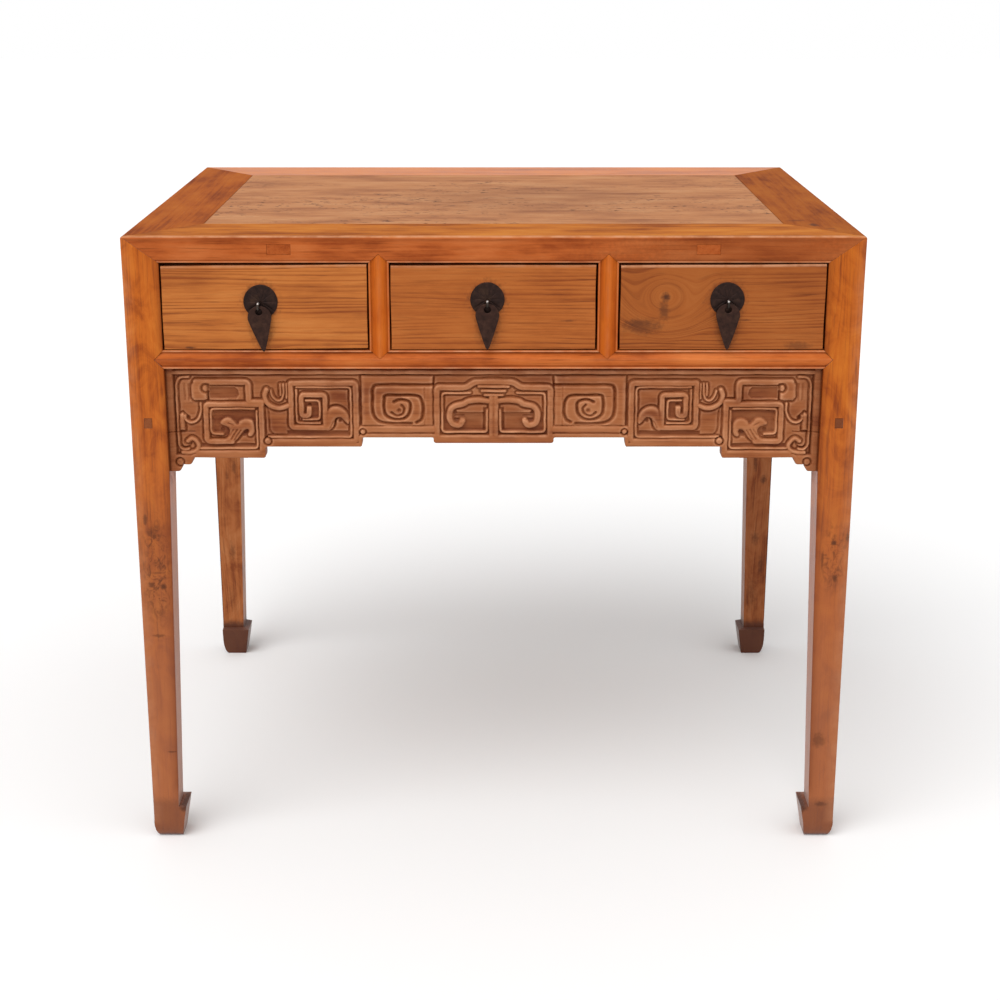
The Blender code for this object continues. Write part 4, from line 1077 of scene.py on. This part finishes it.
def make_head_member():
    """The front member of the top: a bead over the drawers, an arris above pale with wear and a painted
    highlight.
    """
    ends = [half_width - step for step in steps_of(LEG_OUTER)]
    shade_place, shade_reach, shade_share = HEAD_SHADE
    cuts = cuts_across(2, [top_underside + step * HEAD_SHARE for step in steps_of(HEAD_BEAD)])
    cuts += cuts_across(0, ends) + cuts_across(0, [-x for x in ends])
    cuts += cuts_across(1, [front_y + ARRIS_BACK, front_y + 1.5 * ARRIS_BACK])
    cuts += cuts_across(2, [table_height - shade_place, table_height - shade_place - shade_reach])

    def surface(point):
        below = table_height - point.z
        if below < ARRIS_DOWN and point.y < front_y + ARRIS_BACK + SAME_PLANE:
            return point, 0.0, ARRIS_PALE
        if abs(point.y - front_y) > SAME_PLANE:
            return point, 0.0, 0.0
        shape = moulding(HEAD_BEAD, (point.z - top_underside) / HEAD_SHARE) + outer_arris(point)
        shape[1] += shade_share * max(0.0, 1.0 - abs(below - shade_place) / shade_reach)
        return point + Vector((0.0, shape[0] * MM, 0.0)), min(shape[1], 1.0), min(shape[2], 1.0)

    finish = finish_of("top_frame_front", "X", HEAD_WOOD, contrast=0.16, cloud=1.4, relief=True, grime=0.3,
                       specular=0.0, coat=0.08, top_colour=TOP_FRONT_WOOD)
    reshape("top_frame_front", cuts, surface, finish)


def make_ridged(node, axis, low, high, table, colour):
    """A rail or divider with a ridge down its face, and a bead along its edges, low and high on an axis."""
    steps = steps_of(table)
    cuts = cuts_across(axis, [low + step for step in steps] + [high - step for step in steps])

    def surface(point):
        if point.y > front_y + RIDGE_DEPTH:
            return point, 0.0, 0.0
        shape = moulding(table, min(point[axis] - low, high - point[axis]))
        return Vector((point.x, front_y + shape[0] * MM, point.z)), shape[1], shape[2]

    finish = finish_of(node, "X" if axis == 2 else "Z", colour, contrast=0.14, cloud=1.4, relief=True,
                       grime=0.3, specular=0.07)
    reshape(node, cuts, surface, finish)


# Drawer fronts
# How far each has worn back from the CAD box, or stands out of it, in millimetres:
# left, right, top at left, top at right, bottom at left, bottom at right

DRAWER_WEAR = {
    "left": (0.4, 0.7, 1.4, -1.0, 0.0, 1.6),
    "middle": (0.3, 1.2, 0.6, -0.4, 0.0, 0.5),
    "right": (1.1, 0.6, 0.3, -1.4, 0.0, 0.0),
}
FRONT_COLUMNS = 90
FRONT_ROWS = 38
ROUND_STEPS = 5
FRONT_ROUND = 1.1 * MM
FRONT_RIPPLE = 0.12 * MM
TOP_WAVE = 0.2 * MM
SIDE_WAVE = 0.25 * MM
SAG_START = 0.3
# Painted shade on the lower and side edges, and wear with a painted highlight on the top rows
EDGE_DARK = 0.8
CREST_ROWS = 6
DRAWER_CREST = {"left": 0.65, "middle": 0.5, "right": 1.2}
DRAWER_SEEDS = {"left": 2.2, "middle": 6.4, "right": 8.9}
DRAWER_WOODS = {
    "left": (0.51, 0.156, 0.0315),
    "middle": (0.43, 0.118, 0.0225),
    "right": (0.365, 0.098, 0.0185),
}
DRAWER_KNOTS = {"right": ((0.2210, front_y, 0.7735), 0.062)}
DRAWER_ROWS = {
    "left": [(-392, 706.5, 10, 2.2, 0.8)],
    "middle": [(95, 742, 13, 1.8, 0.5)],
    "right": [(221, 773.5, 7, 8.5, 0.95), (219, 756, 10, 18, 0.62), (192, 735, 36, 15, 0.55),
              (186, 739, 18, 7, 0.40), (392, 709, 24, 8, 0.50), (325, 743, 12, 1.6, 0.6)],
}
# Dark round each pull, from hands and painted shadow, as stain rows from the plate's middle: under the plate,
# under the drop
HALO_ROWS = [(0, 0, 31, 31, 0.8), (0, -35, 19, 36, 0.5)]


def spread_steps(count, length, rounding):
    """Places from 0 to 1 with close rows inside the rounded edges."""
    share = rounding / length
    edge = [share * (1 - math.cos(math.pi / 2 * i / ROUND_STEPS)) for i in range(ROUND_STEPS)]
    return edge + list(np.linspace(share, 1 - share, count)) + [1 - t for t in reversed(edge)]


def make_drawer_front(label):
    """A worn front: edges out of true, rounded arrises and a slight ripple."""
    node = "drawer_%s_front" % label
    low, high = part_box(node)
    left, right, top_left, top_right, bottom_left, bottom_right = [v * MM for v in DRAWER_WEAR[label]]
    width, height = high.x - low.x, high.z - low.z
    us = spread_steps(FRONT_COLUMNS, width, FRONT_ROUND)
    vs = spread_steps(FRONT_ROWS, height, FRONT_ROUND)
    phase = DRAWER_SEEDS[label]

    def point(u, v):
        sag = max(0.0, (u - SAG_START) / (1 - SAG_START))
        bottom = low.z + bottom_left + (bottom_right - bottom_left) * sag
        top = high.z - top_left - (top_right - top_left) * u - TOP_WAVE * (1 + math.sin(u * 9.0 + phase))
        x = low.x + left + (width - left - right) * u + SIDE_WAVE * math.sin(v * 7.0 + phase)
        from_edges = (min(u, 1 - u) * width, min(v, 1 - v) * height)
        sunk = 0.0
        for distance in from_edges:
            short = max(0.0, FRONT_ROUND - distance)
            sunk += FRONT_ROUND - math.sqrt(max(0.0, FRONT_ROUND ** 2 - short ** 2))
        y = low.y + min(sunk, FRONT_ROUND)
        if min(from_edges) > FRONT_ROUND:
            y += abs(FRONT_RIPPLE * math.sin(u * 23.0 + phase + 2.0 * math.sin(v * 5.0)))
        return min(max(x, low.x), high.x), y, bottom + (top - bottom) * v

    form = bmesh.new()
    dark, pale = shade_and_wear_layers(form)
    grid = [[form.verts.new(point(u, v)) for u in us] for v in vs]
    for vertex in grid[0] + [row[i] for row in grid for i in (0, -1)]:
        vertex[dark] = EDGE_DARK
    for row in grid[-CREST_ROWS:]:
        for vertex in row:
            vertex[pale] = DRAWER_CREST[label]
    for row, above in zip(grid, grid[1:]):
        for i in range(len(us) - 1):
            form.faces.new((row[i], row[i + 1], above[i + 1], above[i]))
    # The walls round the front are painted fully dark: painted shade in the gaps
    for vertex in close_back(form, high.y):
        vertex[dark] = 1.0
    plate_low, plate_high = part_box("drawer_%s_pull_plate" % label)
    plate = (plate_low + plate_high) / 2 / MM
    halo = [(plate.x + x, plate.z + z, *rest) for x, z, *rest in HALO_ROWS]
    finish = wood("elm_drawer_" + label, "X", DRAWER_WOODS[label], phase, rings=0.0056, contrast=0.44,
                  wander=0.024, pores=0.5, cloud=0.6, streaks=0.6, roughness=0.46, relief=True, grime=0.3,
                  marks=on_face(front_y, DRAWER_ROWS[label] + halo), knot=DRAWER_KNOTS.get(label))
    place_piece("drawer_%s_worn_front" % label, mesh_of(node + "_worn", form), finish, "drawer_" + label,
                [node], 60)


# Pulls

PLATE_SEGMENTS = 120
PLATE_SPOKES = 10
SCORE_DEPTH = 0.34
SCORE_POWER = 0.35
SCORED = (0.15, 0.95)
RIM_UNEVEN = 0.008
# Plate: share of the radius, share of the thickness
PLATE_PROFILE = [(0.12, 1.0), (0.2, 0.98), (0.3, 0.9), (0.45, 0.78), (0.6, 0.68), (0.75, 0.6), (0.86, 0.56),
                 (0.93, 0.62), (0.97, 0.58), (0.992, 0.40), (1.0, 0.15)]

WIRE_SEGMENTS = 20
EYE_SEGMENTS = 56
EYE_WIRE = 1.4 * MM
EYE_WIDTH = 1.25
SHANK_RADIUS = 1.55 * MM
SHANK_STEPS = 12
END_RADIUS = 0.58 * MM
END_WIDTH = 2.2
END_STEPS = 15
END_BOW = 0.2 * MM
END_TILT = 1.1 * MM
POLISH_AND_HIGHLIGHT_REACH = 4.0 * MM

DROP_SEGMENTS = 128
KEEL_WIDTH = 2.8 * MM
KEEL_RUN = 12.0 * MM
KEEL_RISE = 0.22
# Drop: share of the way from the hole to the outline, share of the half thickness
DROP_PROFILE = [(0.0, 0.35), (0.02, 0.72), (0.06, 0.95), (0.14, 1.0), (0.3, 0.9), (0.5, 0.82), (0.7, 0.74),
                (0.85, 0.66), (0.94, 0.56), (0.98, 0.40), (1.0, 0.12)]

plate_iron = iron("iron_plate", PLATE_TONES, 0.50, 0.75)
drop_iron = iron("iron_drop", DROP_TONES, 0.46, 0.75)


def make_plate(label):
    """A hammered disc, dished up to the middle and scored in petals."""
    node = "drawer_%s_pull_plate" % label
    low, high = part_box(node)
    centre = (low + high) / 2
    radius = (high.x - low.x) / 2
    form = bmesh.new()
    rings = []
    for share, rise in PLATE_PROFILE:
        ring = []
        for angle in angles(PLATE_SEGMENTS):
            score = 1 - abs(math.sin(angle * PLATE_SPOKES / 2)) ** SCORE_POWER
            groove = SCORE_DEPTH * score * (SCORED[0] < share < SCORED[1])
            uneven = 1 - RIM_UNEVEN * (1 + math.sin(3 * angle + centre.x * 40)) * (share > 0.9)
            reach = radius * share * uneven
            y = high.y - (high.y - low.y) * max(rise - groove, 0.1)
            point = (centre.x + reach * math.cos(angle), y, centre.z + reach * math.sin(angle))
            ring.append(form.verts.new(point))
        rings.append(ring)
    rings.append([form.verts.new((p.co.x, high.y, p.co.z)) for p in rings[-1]])
    skin(form, rings)
    form.faces.new(rings[0])
    form.faces.new(rings[-1])
    name = "pull_%s_plate" % label
    place_piece(name, mesh_of(name, form), plate_iron, "drawer_" + label, [node])


def tube(form, path, radius, closed, widened=1.0):
    """A round wire swept along points that lie in one plane of constant x or constant z."""
    rings = []
    count = len(path)
    for i, point in enumerate(path):
        before = path[i - 1] if closed or i > 0 else path[i]
        after = path[(i + 1) % count] if closed or i < count - 1 else path[i]
        way = (after - before).normalized()
        side = Vector((1.0, 0.0, 0.0)) if abs(way.x) < 0.7 else Vector((0.0, 0.0, 1.0))
        up = way.cross(side).normalized()
        rings.append([form.verts.new(point + side * (radius * widened * math.cos(angle))
                                     + up * (radius * math.sin(angle))) for angle in angles(WIRE_SEGMENTS)])
    skin(form, rings, closed)
    if not closed:
        form.faces.new(rings[0])
        form.faces.new(rings[-1])


def make_pin(label):
    """Split pin: a forged eye, a shank through the drawer front and two ends bent apart behind it."""
    node = "drawer_%s_pull_pin" % label
    low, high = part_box(node)
    x, z = (low.x + high.x) / 2, (low.z + high.z) / 2
    half = (high.x - low.x) / 2
    eye_radius = (high.z - low.z) / 2 - EYE_WIRE
    centre = Vector((x, low.y + EYE_WIRE + eye_radius, z))
    behind = high.y - END_RADIUS
    form = bmesh.new()
    eye = [centre + Vector((0.0, -math.cos(angle), math.sin(angle))) * eye_radius
           for angle in angles(EYE_SEGMENTS)]
    tube(form, eye, EYE_WIRE, True, EYE_WIDTH)
    shank = [Vector((x, y, z)) for y in np.linspace(centre.y + eye_radius, behind, SHANK_STEPS)]
    tube(form, shank, SHANK_RADIUS, False)
    ends = [Vector((x + half * t, behind + END_BOW * (1 - abs(t)), z + END_TILT * t))
            for t in np.linspace(-1.0, 1.0, END_STEPS)]
    tube(form, ends, END_RADIUS, False, END_WIDTH)
    name = "pull_%s_pin" % label
    # Polish and painted highlight at the top of the eye
    eye_polish_and_highlight = ((x, low.y + EYE_WIRE + 0.6 * eye_radius, z + eye_radius + EYE_WIRE), POLISH_AND_HIGHLIGHT_REACH)
    metal = iron("iron_pin_" + label, PIN_TONES, 0.4, 1.0, eye_polish_and_highlight)
    place_piece(name, mesh_of(name, form), metal, "drawer_" + label, [node])


def ray_lengths(loop, centre, count):
    """How far out a closed outline is met by rays at even angles round a centre."""
    lengths = []
    for angle in angles(count):
        way = Vector((math.cos(angle), math.sin(angle)))
        furthest = 0.0
        for a, b in zip(loop, loop[1:] + loop[:1]):
            a, b = Vector(a) - centre, Vector(b) - centre
            edge = b - a
            turn = way.x * edge.y - way.y * edge.x
            if abs(turn) < 1e-12:
                continue
            length = (a.x * edge.y - a.y * edge.x) / turn
            along = (a.x * way.y - a.y * way.x) / turn
            if length > 0 and -1e-6 <= along <= 1 + 1e-6:
                furthest = max(furthest, length)
        lengths.append(furthest)
    return lengths


def make_drop(label):
    """A leaf hammered from plate: rounded rim, shallow keel down the blade, worn hole."""
    node = "drawer_%s_pull_drop" % label
    low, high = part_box(node)
    hole, outer = sorted(face_loops(node, low.y), key=lambda loop: np.ptp([z for x, z in loop]))
    centre = sum((Vector(p) for p in hole), Vector((0.0, 0.0))) / len(hole)
    middle_y = (low.y + high.y) / 2
    half = (high.y - low.y) / 2
    rays = list(zip(angles(DROP_SEGMENTS), ray_lengths(hole, centre, DROP_SEGMENTS),
                    ray_lengths(outer, centre, DROP_SEGMENTS)))
    form = bmesh.new()

    def ring_of(face, share, thick):
        ring = []
        for angle, start, end in rays:
            radius = start + (end - start) * share
            x, z = radius * math.cos(angle), radius * math.sin(angle)
            keel = KEEL_RISE * math.exp(-(x / KEEL_WIDTH) ** 2) * min(max(-z / KEEL_RUN, 0.0), 1.0)
            y = middle_y + face * half * min(thick + keel * (share < 0.95), 1.0)
            ring.append(form.verts.new((centre.x + x, y, centre.y + z)))
        return ring

    front_rings = [ring_of(-1, *row) for row in DROP_PROFILE]
    back_rings = [ring_of(1, *row) for row in reversed(DROP_PROFILE)]
    skin(form, front_rings + back_rings, closed=True)
    name = "pull_%s_drop" % label
    place_piece(name, mesh_of(name, form), drop_iron, "pull_" + label, [node])


# Finishes of the CAD nodes that stay

BEVEL_ANGLE = math.radians(35)


def dress(names, axis, colour, soften=1.0 * MM, **options):
    """One finish for each node, each with grain of its own, and softened arrises."""
    steps = [("WELD", {"merge_threshold": WELD_DISTANCE}),
             ("DECIMATE", {"decimate_type": "DISSOLVE", "angle_limit": FLAT_ANGLE}),
             ("BEVEL", {"width": soften, "segments": 3, "limit_method": "ANGLE", "angle_limit": BEVEL_ANGLE}),
             ("WEIGHTED_NORMAL", {"keep_sharp": False})]
    for name in names:
        obj = nodes[name]
        obj.data.materials.clear()
        obj.data.materials.append(finish_of(name, axis, colour, **options))
        for kind, settings in steps:
            modifier = obj.modifiers.new(kind.lower(), kind)
            for key, value in settings.items():
                setattr(modifier, key, value)


def matching(*starts):
    return [name for name in sorted(nodes) if name.startswith(starts) and not nodes[name].hide_render]


def dress_nodes():
    dress(["top_frame_back"], "X", BACK_WOOD, 0.4 * MM, contrast=0.16, cloud=0.9, specular=0.13, coat=0.08,
          top_colour=TOP_BACK_WOOD)
    for side, side_wood in TOP_SIDE_WOODS.items():
        dress(["top_frame_" + side], "Y", FRAME_WOOD, 0.4 * MM, contrast=0.2, cloud=1.1, streaks=0.8,
              specular=0.0, coat=0.08, top_colour=side_wood)
    dress(["top_panel"], "X", PANEL_WOOD, 0.4 * MM, rings=0.011, contrast=0.18, pores=0.4, cloud=0.9,
          streaks=0.6, flecks=1.0, roughness=0.42, specular=0.0, coat=0.15)
    dress(["back_rail", "back_apron"], "X", BACK_WOOD, 0.4 * MM, contrast=0.16, cloud=1.4)
    dress(matching("side_rail", "side_apron"), "Y", FRAME_WOOD, 0.5 * MM, contrast=0.18, cloud=1.4)
    dress(["back_panel"], "X", BACK_WOOD, rings=0.010, contrast=0.22, roughness=0.5)
    dress(matching("side_panel"), "Y", FRAME_WOOD, rings=0.010, contrast=0.24, roughness=0.48)
    dress(matching("top_brace"), "Y", BRACE_WOOD, 0.2 * MM, contrast=0.1, cloud=0.5, grime=0.1, specular=0.0,
          coat=0.08)
    dress(matching("runner", "guide"), "Y", SOFTWOOD, contrast=0.2, roughness=0.6)
    for label in DRAWER_WEAR:
        drawer = "drawer_%s_" % label
        dress(matching(drawer + "side"), "Y", SOFTWOOD, 0.7 * MM, contrast=0.24, roughness=0.62)
        dress(matching(drawer + "back", drawer + "bottom"), "X", SOFTWOOD, 0.5 * MM, contrast=0.24,
              roughness=0.62)


# Floor, light and camera

FLOOR_SIZE = 30.0
FLOOR_LIT = (0.72, 0.715, 0.71)
FLOOR_SEEN = (0.945, 0.945, 0.945)
WORLD_COLOUR = (1.0, 1.0, 1.0)
AMBIENT = 0.42
# Soft lamps: direction that the light travels, strength, how wide the lamp looks in degrees
LAMPS = {
    "key": ((0.36, 0.52, -0.80), 1.55, 50.0),
    "fill": ((-0.70, 0.60, -0.45), 0.57, 80.0),
    "overhead": ((0.05, 0.10, -1.0), 0.85, 100.0),
}
LAMP_AWAY = 3.0
CAMERA_BACK = 2.103
CAMERA_HEIGHT = 1.220
CAMERA_PITCH = 15.16
CAMERA_LENS = 60.264
CAMERA_SENSOR = 36.0
CAMERA_SHIFT = (0.0064, -0.11)


def make_floor():
    form = bmesh.new()
    bmesh.ops.create_grid(form, x_segments=2, y_segments=2, size=FLOOR_SIZE / 2)
    floor = new_object("studio_floor", mesh_of("studio_floor", form))
    shade = Shade(bpy.data.materials.new("studio_floor"))
    colour = shade.mix(shade.seen(), rgba(FLOOR_LIT), rgba(FLOOR_SEEN))
    plain = shade.add("BsdfDiffuse", {"Color": colour})
    shade.put(shade.tree.nodes["Material Output"].inputs["Surface"], plain.outputs[0])
    floor.data.materials.append(shade.owner)


def make_world():
    world = bpy.data.worlds.new("studio")
    bpy.context.scene.world = world
    shade = Shade(world)
    strength = shade.add("MapRange", {0: shade.seen(), 3: AMBIENT, 4: 1.0})
    background = shade.tree.nodes["Background"]
    shade.put(background.inputs["Color"], rgba(WORLD_COLOUR))
    shade.put(background.inputs["Strength"], strength.outputs[0])


def make_lamps():
    for name, (way, strength, width) in LAMPS.items():
        lamp = bpy.data.lights.new(name, "SUN")
        lamp.energy = strength
        lamp.angle = math.radians(width)
        obj = new_object(name, lamp)
        obj.rotation_euler = Vector(way).to_track_quat("-Z", "Y").to_euler()
        obj.location = Vector(way) * -LAMP_AWAY


def make_camera():
    data = bpy.data.cameras.new("photo_camera")
    data.sensor_width = CAMERA_SENSOR
    data.lens = CAMERA_LENS
    data.shift_x, data.shift_y = CAMERA_SHIFT
    camera = new_object("photo_camera", data)
    camera.location = (0.0, front_y - CAMERA_BACK, CAMERA_HEIGHT)
    camera.rotation_euler = (math.radians(90.0 - CAMERA_PITCH), 0.0, 0.0)
    bpy.context.scene.camera = camera


make_front_apron()
for end in (-1, 1):
    for side in (-1, 1):
        make_leg(side, end)
make_head_member()
make_ridged("front_drawer_rail", 2, rail_low.z, rail_high.z, RAIL_RIDGE, RAIL_WOOD)
for node in ("divider_left", "divider_right"):
    divider_low, divider_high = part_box(node)
    middle = (divider_low.x + divider_high.x) / 2
    make_ridged(node, 0, middle - DIVIDER_HALF, middle + DIVIDER_HALF, DIVIDER_RIDGE, DIVIDER_WOOD)
for label in DRAWER_WEAR:
    make_drawer_front(label)
for label in DRAWER_WEAR:
    make_plate(label)
    make_pin(label)
    make_drop(label)
dress_nodes()
make_floor()
make_world()
make_lamps()
make_camera()
bpy.context.scene.view_settings.view_transform = "Standard"
